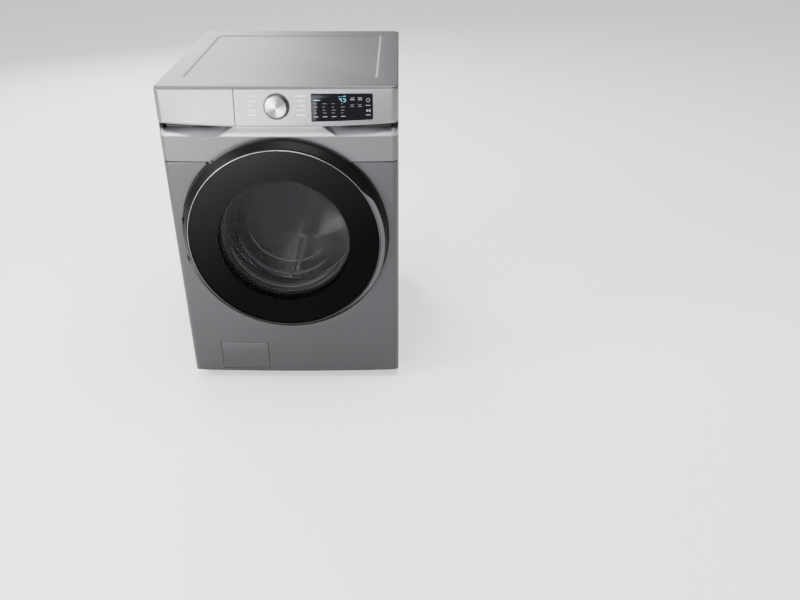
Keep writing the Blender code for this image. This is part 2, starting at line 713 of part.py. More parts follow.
def door_hook():
    """Catch that swings on the door and reaches into the lock."""
    x, y = HOOK.x, HOOK.y
    outline = [(x - 0.0035, y - 0.0045), (x + 0.0035, y - 0.0045), (x + 0.0035, y + 0.0260),
               (x + 0.0095, y + 0.0260), (x + 0.0045, y + 0.0350), (x - 0.0035, y + 0.0350)]
    return prism("door_hook", "spring_steel", outline, DOOR_Z - 0.010, DOOR_Z + 0.010, "Z", HOOK)


# ---------------------------------------------------------------- drawer

def drawer_tray():
    """Drawer box with three compartments."""
    x0, x1, y0, y1 = -0.3160, -0.1450, FRONT + RETURN + GAP, -0.060
    z0, z1 = 0.8850, 0.9430
    tray = box("drawer_tray", "white_plastic", (x0, y0, z0), (x1, y1, z1))
    split_x, split_y = -0.2150, -0.190
    rooms = {"main": (x0 + 0.002, split_x - 0.001, y0 + 0.002, y1 - 0.002),
             "softener": (split_x + 0.001, x1 - 0.002, split_y + 0.001, y1 - 0.002),
             "bleach": (split_x + 0.001, x1 - 0.002, y0 + 0.002, split_y - 0.001)}
    for name, (a, b, c, d) in rooms.items():
        combine(tray, box("cut_room_" + name, None, (a, c, z0 + 0.002), (b, d, z1 + 0.01)))
    return tray


# ---------------------------------------------------------------- tub and drum

def tub_front_half():
    """Front half of the plastic tub with its round mouth."""
    outline = [(0.205, TUB_FRONT), (TUB_R, TUB_FRONT), (TUB_R, TUB_SEAM - 0.004), (0.309, TUB_SEAM - 0.004),
               (0.309, TUB_SEAM - 0.0003), (TUB_R - TUB_WALL, TUB_SEAM - 0.0003),
               (TUB_R - TUB_WALL, TUB_FRONT + TUB_WALL), (0.205, TUB_FRONT + TUB_WALL)]
    return turned("tub_front_half", "grey_plastic", outline, steps=32)


def tub_rear_half():
    """Rear half of the tub with the bearing housing."""
    inside = TUB_REAR - 0.006
    outline = [(TUB_R - TUB_WALL, TUB_SEAM + 0.0003), (0.309, TUB_SEAM + 0.0003), (0.309, TUB_SEAM + 0.004),
               (TUB_R, TUB_SEAM + 0.004), (TUB_R, TUB_REAR), (0.055, TUB_REAR), (0.042, 0.285),
               (SHAFT_R + 0.0006, 0.285), (SHAFT_R + 0.0006, inside), (TUB_R - TUB_WALL, inside)]
    return turned("tub_rear_half", "grey_plastic", outline, steps=32)


def counterweight(name, start, end):
    """Concrete crescent bolted round the tub's mouth."""
    sections = []
    for i in range(17):
        a = math.radians(start + (end - start) * i / 16)
        sections.append([(r * math.cos(a), y, DOOR_Z + r * math.sin(a)) for r, y in (
            (0.222, TUB_FRONT - GAP), (0.288, TUB_FRONT - GAP), (0.288, -0.308), (0.222, -0.308))])
    return loft("counterweight_" + name, "concrete", sections)


def motor_housing():
    """Motor body with the lug that hangs it under the tub."""
    outline = [(0, 0.050), (0.064, 0.050), (0.070, 0.056), (0.070, 0.194), (0.064, 0.200), (0.020, 0.200),
               (0.020, 0.215), (0.0062, 0.215), (0.0062, 0.185), (0, 0.185)]
    motor = turned("motor_housing", "dark_plastic", outline, (MOTOR.x, MOTOR.z), 32)
    lug = box("join_motor_lug", None, (0.045, 0.070, 0.200), (0.100, 0.180, 0.2365))
    return combine(motor, lug, "UNION")


def motor_pulley():
    """Small pulley on the motor's shaft."""
    y = PULLEY_Y
    outline = [(0, 0.190), (0.0056, 0.190), (0.0056, y), (0.0175, y), (0.0175, y + 0.0025),
               (MOTOR_PULLEY_R, y + 0.003), (MOTOR_PULLEY_R, y + 0.015), (0.0175, y + 0.0155),
               (0.0175, y + 0.018), (0, y + 0.018)]
    return turned("motor_pulley", "spring_steel", outline, (MOTOR.x, MOTOR.z), 24, origin=MOTOR)


def drum_pulley():
    """Large pulley with five openings between its spokes."""
    y = PULLEY_Y
    outline = [(SHAFT_R + 0.0005, y - 0.004), (0.030, y - 0.004), (0.032, y + 0.004), (0.138, y + 0.004),
               (0.140, y), (0.153, y), (PULLEY_R, y + 0.003), (PULLEY_R, y + 0.015), (0.153, y + 0.018),
               (0.140, y + 0.018), (0.138, y + 0.008), (0.032, y + 0.008), (0.030, y + 0.018),
               (SHAFT_R + 0.0005, y + 0.018)]
    pulley = turned("drum_pulley", "aluminium_cast", outline, steps=30, origin=(0, 0, DOOR_Z))
    for i in range(5):
        a = math.tau * i / 5
        hole = disc_cutter("cut_pulley_" + str(i), 0.036, y - 0.02, y + 0.03,
                           (0.088 * math.cos(a), DOOR_Z + 0.088 * math.sin(a)), 10)
        combine(pulley, hole)
    return pulley


def drive_belt():
    """Belt round the two pulleys."""
    big, small = PULLEY_R + 0.0004, MOTOR_PULLEY_R + 0.0004
    across = Vector((MOTOR.x, MOTOR.z - DOOR_Z))
    heading = math.atan2(across.y, across.x)
    spread = math.acos((big - small) / across.length)

    def path(extra):
        points = [(math.cos(a) * (big + extra), DOOR_Z + math.sin(a) * (big + extra)) for a in
                  [heading + spread + (math.tau - 2 * spread) * i / 32 for i in range(33)]]
        points += [(MOTOR.x + math.cos(a) * (small + extra), MOTOR.z + math.sin(a) * (small + extra)) for a in
                   [heading - spread + 2 * spread * i / 10 for i in range(11)]]
        return points

    sections = []
    for (ax, az), (bx, bz) in zip(path(0.0), path(0.0022)):
        sections.append([(ax, PULLEY_Y + 0.004, az), (bx, PULLEY_Y + 0.004, bz),
                         (bx, PULLEY_Y + 0.014, bz), (ax, PULLEY_Y + 0.014, az)])
    return loft("drive_belt", "black_rubber", sections, ring=True)


def damper_rod(name, x, y, top):
    """Rod that slides in its damper cylinder."""
    outline = [(0, 0.135), (0.0055, 0.135), (0.0055, 0.255), (0.011, 0.258), (0.011, top), (0, top)]
    return turned("damper_rod_" + name, "spring_steel", outline, (x, y), 16, "Z")


def tub_spring(name, x):
    """Coil spring between the crossbar and the tub."""
    y, low, high, turns = -0.022, 0.7035, 0.9195, 7
    path = []
    for i in range(turns * 8 + 1):
        a = math.tau * i / 8
        path.append(Vector((x + 0.010 * math.cos(a), y + 0.010 * math.sin(a),
                            low + (high - low) * i / (turns * 8))))
    rings = []
    for i, point in enumerate(path):
        ahead = (path[min(i + 1, len(path) - 1)] - path[max(i - 1, 0)]).normalized()
        out = Vector((point.x - x, point.y - y, 0)).normalized()
        up = ahead.cross(out)
        rings.append([point + (out * math.cos(t) + up * math.sin(t)) * 0.0015
                      for t in [math.tau * k / 4 for k in range(4)]])
    return loft("tub_spring_" + name, "spring_steel", rings)


def door_gasket():
    """Folded rubber bellows between the front panel and the tub."""
    f, t = FRONT, 0.0025
    outline = [(0.1900, f + 0.006), (0.2000, f - 0.001), (0.2142, f - 0.0010), (0.2142, f + 0.022),
               (0.2100, f + 0.030), (0.2120, f + 0.050), (0.2040, f + 0.060), (0.2040, f + 0.080),
               (0.2040 - t, f + 0.080), (0.2040 - t, f + 0.058), (0.2085, f + 0.0485), (0.2070, f + 0.030),
               (0.2112, f + 0.020), (0.2112, f + 0.0015), (0.2010, f + 0.0015), (0.1905, f + 0.0085)]
    return turned("door_gasket", "grey_rubber", outline, steps=32)


def sump_hose():
    """Hose from the tub's lowest point to the drain pump."""
    path = [(-0.0605, -0.200, 0.2372), (-0.070, -0.203, 0.205), (-0.115, -0.215, 0.172),
            (-0.157, -0.236, 0.158), (FILTER_X, -0.240, 0.145), (FILTER_X, -0.240, 0.1278)]
    return sweep_tube("sump_hose", "black_rubber", path, 0.0165, 0.0140, 8)


def dispenser_hose():
    """Hose from the dispenser down to the top of the tub."""
    path = [(-0.236, -0.090, 0.8790), (-0.232, -0.090, 0.858), (-0.195, -0.090, 0.838),
            (-0.162, -0.090, 0.8135), (-0.1512, -0.090, 0.7949)]
    return sweep_tube("dispenser_hose", "black_rubber", path, 0.0115, 0.0090, 7)


def drum_shell():
    """Stainless drum, open at the front."""
    r, t, f, b = DRUM_R, 0.0012, DRUM_FRONT, DRUM_REAR
    outline = [(0, b - 0.006), (0.060, b - 0.006), (0.110, b), (r, b), (r, f + 0.006), (0.215, f), (0.203, f + 0.002),
               (0.203, f + 0.016), (0.203 + t, f + 0.016), (0.203 + t, f + 0.0032), (0.215, f + t),
               (r - t, f + 0.006 + t), (r - t, b - t), (0.110, b - t), (0.060, b - 0.006 - t), (0, b - 0.006 - t)]
    return turned("drum_shell", "stainless", outline, steps=40, origin=(0, 0, DOOR_Z))


def drum_lifter(name, angle):
    """Hollow-backed paddle along the drum's inside."""
    turn = Matrix.Translation((0, 0, DOOR_Z)) @ Matrix.Rotation(math.radians(angle), 4, "Y")
    wall = DRUM_R - 0.0022
    base = arc(0, 0, wall, -97, -83, 5)
    ridge = [(0.014, -wall + 0.030), (0.007, -wall + 0.046), (-0.007, -wall + 0.046), (-0.014, -wall + 0.030)]
    sections = []
    for y, size in ((-0.215, 0.35), (-0.190, 0.9), (-0.02, 1.0), (0.150, 0.9), (0.185, 0.35)):
        row = [(x, z) for x, z in base] + [(x, -wall + 0.004 + (z + wall - 0.004) * size) for x, z in ridge]
        sections.append([turn @ Vector((x, y, z)) for x, z in row])
    return loft("drum_lifter_" + name, "white_plastic", sections, (0, 0, DOOR_Z))


def drum_spider():
    """Cast three-armed cross with the drum's shaft."""
    y0 = DRUM_REAR + 0.0006
    outline = [(0, y0 - 0.0055), (0.055, y0 - 0.0055), (0.055, y0 + 0.0135), (SHAFT_R, y0 + 0.0155),
               (SHAFT_R, 0.326), (0, 0.326)]
    spider = turned("drum_spider", "aluminium_cast", outline, steps=32, origin=(0, 0, DOOR_Z))
    for i in range(3):
        arm = box("join_spider_arm_" + str(i), None, (0.030, y0, -0.018), (0.262, y0 + 0.013, 0.018))
        arm.matrix_world = Matrix.Translation((0, 0, DOOR_Z)) @ Matrix.Rotation(math.tau * i / 3 + math.pi / 2, 4, "Y")
        combine(spider, arm, "UNION")
    return spider


# ---------------------------------------------------------------- service parts

def filter_access_door():
    """Flush flap over the drain filter."""
    x0, x1, z0, z1 = FILTER_DOOR
    thick = 0.0018
    sections = []
    for i in range(7):
        x = x0 + (x1 - x0) * i / 6
        y = plan_front(x)
        sections.append([(x, y, z0), (x, y, z1), (x, y + thick, z1), (x, y + thick, z0)])
    return loft("filter_access_door", "platinum_plastic", sections, (0, FRONT - 0.0080, z0))


def debris_filter():
    """Screw-in filter: cap with a grip bar and the basket behind it."""
    front = FRONT + 0.0060
    outline = [(0, front), (0.0290, front), (0.0300, front + 0.001), (0.0300, front + 0.012),
               (0.0240, front + 0.012), (0.0240, -0.235), (0.0215, -0.235), (0.0215, front + 0.015),
               (0, front + 0.015)]
    cap = turned("debris_filter", "blue_plastic", outline, (FILTER_X, FILTER_Z), 32,
                 origin=(FILTER_X, 0, FILTER_Z))
    grip = box("join_filter_grip", None, (FILTER_X - 0.021, front - 0.0060, FILTER_Z - 0.004),
               (FILTER_X + 0.021, front + 0.002, FILTER_Z + 0.004))
    return combine(cap, grip, "UNION")


def build_cabinet():
    side_panel("side_panel_left", -1)
    side_panel("side_panel_right", 1)
    rear_panel()
    rear_service_cover()
    top_panel()
    front_panel()
    front_upper_panel()
    control_panel()
    display_window()
    control_board()
    base_pan()
    crossbar()
    dispenser_housing()
    inlet_valve()
    drain_outlet()
    door_lock()
    hinge_bracket()
    pump_body()
    drain_hose()
    for name, (x, y) in FOOT_PLACES.items():
        levelling_foot(name, x, y)


def build_door():
    door_rear_frame()
    door_bezel()
    door_trim_ring()
    door_window()
    door_bowl()
    door_handle()
    hinge_arm()
    door_hook()


def build_controls():
    selector_knob()
    fascia("drawer_front", "platinum_plastic", -HALF, FASCIA_SPLIT - GAP)
    drawer_tray()
    filter_access_door()
    debris_filter()


def build_tub():
    tub_front_half()
    tub_rear_half()
    counterweight("top", 24, 156)
    counterweight("bottom", 204, 336)
    motor_housing()
    motor_pulley()
    drive_belt()
    door_gasket()
    sump_hose()
    dispenser_hose()
    tub_spring("left", -0.270)
    tub_spring("right", 0.270)
    for name, (x, y, top) in DAMPERS.items():
        damper_cylinder(name, x, y)
        damper_rod(name, x, y, top)


def build_drum():
    drum_shell()
    drum_spider()
    drum_pulley()
    for number, angle in enumerate((0, 120, 240), 1):
        drum_lifter(str(number), angle)


def main():
    clear_scene()
    build_cabinet()
    build_door()
    build_controls()
    build_tub()
    build_drum()


main()
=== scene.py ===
"""Front load washing machine: the visible model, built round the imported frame."""
import json
import math

import bmesh
import bpy
import numpy as np
from bpy.props import FloatProperty, FloatVectorProperty, IntProperty, PointerProperty
from mathutils import Matrix, Vector


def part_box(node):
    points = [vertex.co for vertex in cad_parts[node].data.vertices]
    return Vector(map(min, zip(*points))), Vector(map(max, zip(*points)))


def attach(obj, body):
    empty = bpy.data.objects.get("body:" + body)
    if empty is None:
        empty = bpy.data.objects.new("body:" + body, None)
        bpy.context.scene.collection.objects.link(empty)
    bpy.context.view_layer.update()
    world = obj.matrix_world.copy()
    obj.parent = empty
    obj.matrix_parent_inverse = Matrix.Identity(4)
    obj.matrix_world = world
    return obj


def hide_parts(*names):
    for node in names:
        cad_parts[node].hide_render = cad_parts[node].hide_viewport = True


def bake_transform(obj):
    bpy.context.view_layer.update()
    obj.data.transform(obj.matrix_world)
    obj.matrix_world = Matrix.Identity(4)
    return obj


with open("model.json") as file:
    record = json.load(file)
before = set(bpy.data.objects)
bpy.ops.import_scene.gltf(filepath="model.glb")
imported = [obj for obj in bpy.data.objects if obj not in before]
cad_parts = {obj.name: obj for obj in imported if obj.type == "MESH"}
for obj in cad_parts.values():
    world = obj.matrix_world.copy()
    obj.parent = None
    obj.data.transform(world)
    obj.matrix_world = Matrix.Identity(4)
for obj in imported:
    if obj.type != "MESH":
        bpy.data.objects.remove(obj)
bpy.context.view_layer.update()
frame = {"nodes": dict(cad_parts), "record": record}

bl_info = {
    "name": "Front Load Washing Machine",
    "version": (1, 0, 0),
    "blender": (4, 5, 0),
    "location": "3D View > Sidebar > Washer",
    "description": "Builds a front load washing machine piece by piece",
    "category": "Add Mesh",
}

# ---------------------------------------------------------------- sizes taken from the frame

TOP_LOW, TOP_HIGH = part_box("top_panel")
SIDE_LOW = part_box("side_panel_left")[0]
DOOR_LOW, DOOR_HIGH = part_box("door_bezel")
LOWER_LOW, LOWER_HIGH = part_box("front_panel")
FLAP_LOW, FLAP_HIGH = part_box("filter_access_door")

HALF = TOP_HIGH.x
HEIGHT = TOP_HIGH.z
REAR = TOP_HIGH.y
RETURN = 0.025
GAP = 0.0005
FRONT = SIDE_LOW.y - RETURN - GAP
DOOR_Z = (DOOR_LOW.z + DOOR_HIGH.z) / 2
DOOR_R = (DOOR_HIGH.z - DOOR_LOW.z) / 2
GLASS_R = 0.285
CLEAR_R = 0.1975
SEAM = LOWER_HIGH.z + GAP
PANEL_LOW = LOWER_LOW.z
BOW = 0.008
CORNER = 0.020
RIM_Z = 0.845
RECESS_R = 0.313
RECESS_Y = FRONT + 0.001
OPENING_R = 0.215
FASCIA_TOP = 0.9785
FASCIA_SPLIT = -0.117
FASCIA_CORNER = 0.012
SHADE_LOW, SHADE_HIGH = 0.8540, 0.8680
# Radii of the painted reflection arcs on the glass bowl.
BOWL_GLINT_RADII = (0.132, 0.157, 0.176)
KNOB_X, KNOB_Z = 0.002, 0.932
LEAN = 0.021 / 0.100
TUB_R, DRUM_R, SHAFT_R = 0.300, 0.270, 0.015
FILTER_X = (FLAP_LOW.x + FLAP_HIGH.x) / 2
CAMERA_LENS = 35.46
CAMERA_PLACE = (0.3474, FRONT - 2.176, 1.584)
CAMERA_DIP = 30.5


# ---------------------------------------------------------------- numpy surfaces

def smooth(value, start, end):
    """Zero before start, one after end, and 3t^2 - 2t^3 between them."""
    t = np.clip((value - start) / (end - start), 0.0, 1.0)
    return t * t * (3 - 2 * t)


def outline(points, count=4, closed=True):
    """Corners (u, v, radius) joined by straight runs and quadratic arcs of that radius."""
    corners = np.array([p[:2] for p in points], float)
    radii = [p[2] if len(p) > 2 else 0.0 for p in points]
    result = []
    last = len(points) - 1
    for i, (corner, radius) in enumerate(zip(corners, radii)):
        if radius <= 0 or (not closed and i in (0, last)):
            result.append(corner[None])
            continue
        before, after = corners[i - 1] - corner, corners[(i + 1) % len(points)] - corner
        reach = min(radius, np.linalg.norm(before) / 2.02, np.linalg.norm(after) / 2.02)
        first = corner + before / np.linalg.norm(before) * reach
        final = corner + after / np.linalg.norm(after) * reach
        t = np.linspace(0, 1, count + 1)[:, None]
        result.append((1 - t) ** 2 * first + 2 * t * (1 - t) * corner + t ** 2 * final)
    return np.concatenate(result)


def grid_faces(rows, columns, wrap_rows, wrap_columns):
    """Corner numbers of the quads of a grid, closed on itself where it wraps."""
    i = np.arange(rows if wrap_rows else rows - 1)
    j = np.arange(columns if wrap_columns else columns - 1)
    i, j = np.meshgrid(i, j, indexing="ij")
    down, right = (i + 1) % rows, (j + 1) % columns
    quads = np.stack([i * columns + j, i * columns + right, down * columns + right, down * columns + j], -1)
    return quads.reshape(-1, 4)


def facing_out(points, quads, caps):
    """True when the closed surface's signed volume is positive."""
    a, b, c, d = (points[quads[:, k]] for k in range(4))
    volume = np.einsum("ij,ij->", a, np.cross(b, c)) + np.einsum("ij,ij->", a, np.cross(c, d))
    for cap in caps:
        loop = points[cap]
        volume += np.einsum("ij,ij->", np.broadcast_to(loop[0], loop[1:-1].shape),
                            np.cross(loop[1:-1], loop[2:]))
    return volume > 0


def surface(name, grid, wrap_rows=False, wrap_columns=True, caps=False, sharp=32, uv=None):
    """Mesh of a grid of points (rows, columns, 3); caps close its first and last rows."""
    grid = np.asarray(grid, float)
    rows, columns = grid.shape[:2]
    points = grid.reshape(-1, 3)
    quads = grid_faces(rows, columns, wrap_rows, wrap_columns)
    ends = []
    if caps:
        ends = [np.arange(columns)[::-1], np.arange(columns) + (rows - 1) * columns]
    if not facing_out(points, quads, ends):
        quads = quads[:, ::-1]
        ends = [end[::-1] for end in ends]
    mesh = bpy.data.meshes.new(name)
    mesh.from_pydata(points.tolist(), [], quads.tolist() + [end.tolist() for end in ends])
    if uv is not None:
        layer = mesh.uv_layers.new(name="pattern")
        corner = np.empty(len(mesh.loops), int)
        mesh.loops.foreach_get("vertex_index", corner)
        layer.data.foreach_set("uv", np.asarray(uv, float).reshape(-1, 2)[corner].ravel())
    shell = bmesh.new()
    shell.from_mesh(mesh)
    bmesh.ops.remove_doubles(shell, verts=shell.verts, dist=1e-7)
    shell.to_mesh(mesh)
    shell.free()
    mesh.shade_smooth()
    mesh.set_sharp_from_angle(angle=math.radians(sharp))
    return mesh


def spun(profile, centre=(0.0, DOOR_Z), count=180, start=0.0, end=math.tau):
    """Profile of (radius, y) carried round an axis along Y: x = r cos a, z = r sin a."""
    whole = abs(end - start - math.tau) < 1e-6
    angle = np.linspace(start, end, count, endpoint=not whole)[:, None]
    radius, y = profile[:, 0][None], profile[:, 1][None]
    return np.stack([centre[0] + radius * np.cos(angle), y + 0 * angle, centre[1] + radius * np.sin(angle)],
                    -1)


def spun_mesh(name, corners, centre=(0.0, DOOR_Z), count=180, steps=4, sharp=32):
    """Closed solid of revolution about Y; an outline that starts on the axis stays open there."""
    closed = corners[0][0] > 1e-9
    profile = outline(corners, steps, closed)
    return surface(name, spun(profile, centre, count), wrap_rows=True, wrap_columns=closed, sharp=sharp)


def upright_mesh(name, corners, centre, count=48, steps=3, sharp=32):
    """Solid of revolution about an upright axis: the outline's second value is z."""
    closed = corners[0][0] > 1e-9
    profile = outline(corners, steps, closed)
    angle = np.arange(count)[:, None] * math.tau / count
    radius, z = profile[:, 0][None], profile[:, 1][None]
    grid = np.stack([centre[0] + radius * np.cos(angle), centre[1] + radius * np.sin(angle), z + 0 * angle],
                    -1)
    return surface(name, grid, wrap_rows=True, wrap_columns=closed, sharp=sharp)


def prism_mesh(name, shape, low, high, axis="Y", edge=0.0, sharp=32):
    """Flat closed outline pushed along an axis, with its two rims drawn in by edge."""
    shape = np.asarray(shape, float)
    middle = shape.mean(0)
    offset = shape - middle
    size = np.abs(offset).max(0)
    levels, scales = [low, high], [np.ones(2), np.ones(2)]
    if edge:
        drawn = 1 - edge / size
        half = 1 - 0.3 * edge / size
        levels = [low, low + 0.3 * edge, low + edge, high - edge, high - 0.3 * edge, high]
        scales = [drawn, half, np.ones(2), np.ones(2), half, drawn]
    order = {"X": (2, 0, 1), "Y": (0, 2, 1), "Z": (0, 1, 2)}[axis]
    rows = []
    for level, scale in zip(levels, scales):
        flat = middle + offset * scale
        rows.append(np.column_stack([flat, np.full(len(flat), level)])[:, order])
    return surface(name, np.array(rows), caps=True, sharp=sharp)


def block_mesh(name, low, high, radius=0.002, axis="Z", edge=0.0008):
    """Block between two corners with rounded sides and softened rims."""
    low, high = np.array(low, float), np.array(high, float)
    along = "XYZ".index(axis)
    u, v = [k for k in range(3) if k != along]
    shape = outline([(low[u], low[v], radius), (high[u], low[v], radius), (high[u], high[v], radius),
                     (low[u], high[v], radius)], 4)
    return prism_mesh(name, shape, low[along], high[along], axis, edge)


def path_frames(path):
    """Points, sideways and upward unit vectors along a path, turning as little as they can."""
    path = np.asarray(path, float)
    ahead = np.gradient(path, axis=0)
    ahead /= np.linalg.norm(ahead, axis=1)[:, None]
    side = np.empty_like(path)
    seed = np.array([0.0, 0.0, 1.0]) if abs(ahead[0, 2]) < 0.9 else np.array([1.0, 0.0, 0.0])
    current = np.cross(ahead[0], seed)
    for i, step in enumerate(ahead):
        current = current - step * current.dot(step)
        current /= np.linalg.norm(current)
        side[i] = current
    return path, side, np.cross(ahead, side)


def curve_through(points, count):
    """Smooth path through a few points: a cubic whose slope is half the chord of its neighbours."""
    points = np.asarray(points, float)
    padded = np.concatenate([2 * points[:1] - points[1:2], points, 2 * points[-1:] - points[-2:-1]])
    place = np.linspace(0, len(points) - 1 - 1e-9, count)
    i = place.astype(int)
    t = (place - i)[:, None]
    a, b, c, d = (padded[i + k] for k in range(4))
    bend, twist = 2 * a - 5 * b + 4 * c - d, 3 * b - a - 3 * c + d
    return 0.5 * (2 * b + (c - a) * t + bend * t ** 2 + twist * t ** 3)


def tube_mesh(name, path, radius, inner=None, sides=20, sharp=50):
    """Round tube along a path; radius may change along it, and inner hollows it out."""
    path, side, up = path_frames(path)
    angle = np.arange(sides) * math.tau / sides
    ring = side[:, None] * np.cos(angle)[None, :, None] + up[:, None] * np.sin(angle)[None, :, None]
    outer = path[:, None] + ring * np.broadcast_to(radius, len(path))[:, None, None]
    if inner is None:
        return surface(name, outer, caps=True, sharp=sharp)
    hollow = path[::-1, None] + ring[::-1] * np.broadcast_to(inner, len(path))[::-1, None, None]
    return surface(name, np.concatenate([outer, hollow]), wrap_rows=True, sharp=sharp)


def joined(name, meshes, sharp=32):
    """One mesh that holds several closed ones side by side."""
    shell = bmesh.new()
    for part in meshes:
        shell.from_mesh(part)
        bpy.data.meshes.remove(part)
    mesh = bpy.data.meshes.new(name)
    shell.to_mesh(mesh)
    shell.free()
    mesh.shade_smooth()
    mesh.set_sharp_from_angle(angle=math.radians(sharp))
    return mesh


def turned_to(mesh, matrix):
    """The mesh moved by a matrix, so that its object can stay at the origin."""
    mesh.transform(matrix)
    return mesh


# ---------------------------------------------------------------- shader maths

class Value:
    """A shader socket that takes part in Python arithmetic."""

    def __init__(self, shade, socket):
        self.shade = shade
        self.socket = socket

    def _math(self, operation, *values):
        return self.shade.node("ShaderNodeMath", {"operation": operation}, dict(enumerate(values)))

    def __add__(self, other):
        return self._math("ADD", self, other)

    def __sub__(self, other):
        return self._math("SUBTRACT", self, other)

    def __rsub__(self, other):
        return self._math("SUBTRACT", other, self)

    def __mul__(self, other):
        return self._math("MULTIPLY", self, other)

    def __truediv__(self, other):
        return self._math("DIVIDE", self, other)

    __radd__ = __add__
    __rmul__ = __mul__

    def call(self, operation, *others):
        """Any operation of the Math node by its name."""
        return self._math(operation, self, *others)


class Shade:
    """One Principled material and the nodes that feed it."""

    def __init__(self, name, colour, roughness, metallic=0.0, **constants):
        self.material = bpy.data.materials.new(name)
        self.material.use_nodes = True
        self.tree = self.material.node_tree
        self.surface = self.tree.nodes["Principled BSDF"]
        self.material.diffuse_color = (*colour, 1.0)
        for socket, value in {"Base Color": (*colour, 1.0), "Roughness": roughness,
                              "Metallic": metallic, **constants}.items():
            self.surface.inputs[socket].default_value = value

    def node(self, kind, settings=None, inputs=None, output=0):
        """Add any node: its settings first, then the values or links of its sockets."""
        made = self.tree.nodes.new(kind)
        for key, value in (settings or {}).items():
            if key == "stops":
                self._stops(made, value)
            else:
                setattr(made, key, value)
        for key, value in (inputs or {}).items():
            if isinstance(value, Value):
                self.tree.links.new(value.socket, made.inputs[key])
            else:
                made.inputs[key].default_value = value
        return Value(self, made.outputs[output])

    def _stops(self, ramp, stops):
        elements = ramp.color_ramp.elements
        while len(elements) < len(stops):
            elements.new(0.5)
        for element, (place, grey) in zip(elements, stops):
            element.position = place
            element.color = (grey, grey, grey, 1.0)

    def feed(self, socket, value):
        """Link a value to one of the shader's own sockets."""
        self.tree.links.new(value.socket, self.surface.inputs[socket])
        return self

    def place(self):
        """Object coordinates."""
        return self.node("ShaderNodeTexCoord", output="Object")

    def axes(self):
        """The three Object coordinates as separate values."""
        split = self.node("ShaderNodeSeparateXYZ", inputs={0: self.place()})
        return [Value(self, split.socket.node.outputs[k]) for k in range(3)]

    def noise(self, scale, stretch=(1, 1, 1), detail=3.0, roughness=0.55):
        """Noise in Object coordinates, squeezed along each axis by stretch."""
        mapped = self.node("ShaderNodeMapping", inputs={"Vector": self.place(), "Scale": stretch})
        return self.node("ShaderNodeTexNoise", inputs={"Vector": mapped, "Scale": scale, "Detail": detail,
                                                       "Roughness": roughness})

    def mix(self, factor, first, second):
        """Colour between two colours."""
        first = first if isinstance(first, Value) else (*first, 1.0)
        second = second if isinstance(second, Value) else (*second, 1.0)
        return self.node("ShaderNodeMix", {"data_type": "RGBA"}, {0: factor, 6: first, 7: second}, 2)

    def spread(self, value, low, high):
        """Map 0..1 to low..high."""
        return self.node("ShaderNodeMapRange", inputs={"Value": value, "To Min": low, "To Max": high})

    def bump(self, height, strength, distance=0.001):
        """Raise the surface's shading by a height."""
        made = self.node("ShaderNodeBump", inputs={"Strength": strength, "Distance": distance,
                                                   "Height": height})
        return self.feed("Normal", made)


MATERIALS = {}


def material(name):
    """The shared material of one finish, made the first time that it is asked for."""
    if name not in MATERIALS:
        MATERIALS[name] = FINISHES[name](name).material
    return MATERIALS[name]


def brushed_paint(name, colour=(0.046, 0.0464, 0.049), roughness=0.36, metallic=0.62, band=1.0,
                  painted_fade=0.80):
    """Metallic grey with a fine brush; painted shade makes it darker low down and paler higher up by its
    fade, a painted highlight makes it paler above the rim by band, and with a band a painted shadow darkens
    it under the fascia at the sides.
    """
    shade = Shade(name, colour, roughness, metallic)
    brush = shade.noise(1.0, (5.0, 900.0, 900.0), 2.0)
    cloud = shade.noise(3.0, (1.0, 1.0, 1.0), 2.0)
    # Painted shade: the tone runs from darker at the bottom to paler at the top.
    level = shade.node("ShaderNodeMapRange", inputs={"Value": shade.axes()[2], "From Min": 0.10,
                                                     "From Max": 0.78})
    low = shade.mix(brush, tuple(c * 0.90 * painted_fade for c in colour), tuple(c * 1.09 * painted_fade for c in colour))
    high = shade.mix(brush, tuple(c * 0.90 / painted_fade for c in colour), tuple(c * 1.09 / painted_fade for c in colour))
    tone = shade.mix(level, low, high)
    # Painted highlight: the band above the rim, which leans back towards the overhead light, is made paler.
    if band > 1.0:
        above = shade.node("ShaderNodeMapRange", inputs={"Value": shade.axes()[2], "From Min": RIM_Z - 0.001,
                                                         "From Max": RIM_Z + 0.004})
        tone = shade.mix(above, tone, tuple(c * band for c in colour))
        # Painted shadow: near black under the fascia's overhang, fading in towards the sides.
        x, _, z = shade.axes()
        under = shade.node("ShaderNodeMapRange", inputs={"Value": z, "From Min": SHADE_LOW,
                                                         "From Max": SHADE_HIGH})
        side = shade.node("ShaderNodeMapRange", inputs={"Value": x.call("ABSOLUTE"), "From Min": 0.10,
                                                        "From Max": 0.20})
        tone = shade.mix(under * side, tone, (0.006, 0.006, 0.006))
    shade.feed("Base Color", tone)
    shade.feed("Roughness", shade.spread(brush + cloud * 0.6, roughness - 0.06, roughness + 0.05))
    return shade.bump(brush, 0.05, 0.0002)


def satin_plastic(name, colour, roughness, metallic=0.0, grain=1800.0, depth=0.06, gloss=0.5):
    """Moulded plastic: a fine even grain and slight mottling."""
    shade = Shade(name, colour, roughness, metallic, **{"Specular IOR Level": gloss})
    grain_noise = shade.noise(grain, detail=1.0)
    mottle = shade.noise(22.0, detail=4.0)
    shade.feed("Base Color", shade.mix(mottle, tuple(c * 0.93 for c in colour),
                                       tuple(min(c * 1.06, 1.0) for c in colour)))
    shade.feed("Roughness", shade.spread(mottle, roughness - 0.05, roughness + 0.06))
    return shade.bump(grain_noise, depth, 0.0002)


def polished_metal(name, colour, roughness, wear=0.05):
    """Plain metal with faint smears in its polish."""
    shade = Shade(name, colour, roughness, 1.0)
    smear = shade.noise(14.0, (1.0, 2.5, 1.0), 4.0)
    shade.feed("Roughness", shade.spread(smear, roughness - wear, roughness + wear))
    shade.feed("Base Color", shade.mix(smear, tuple(c * 0.94 for c in colour), colour))
    return shade


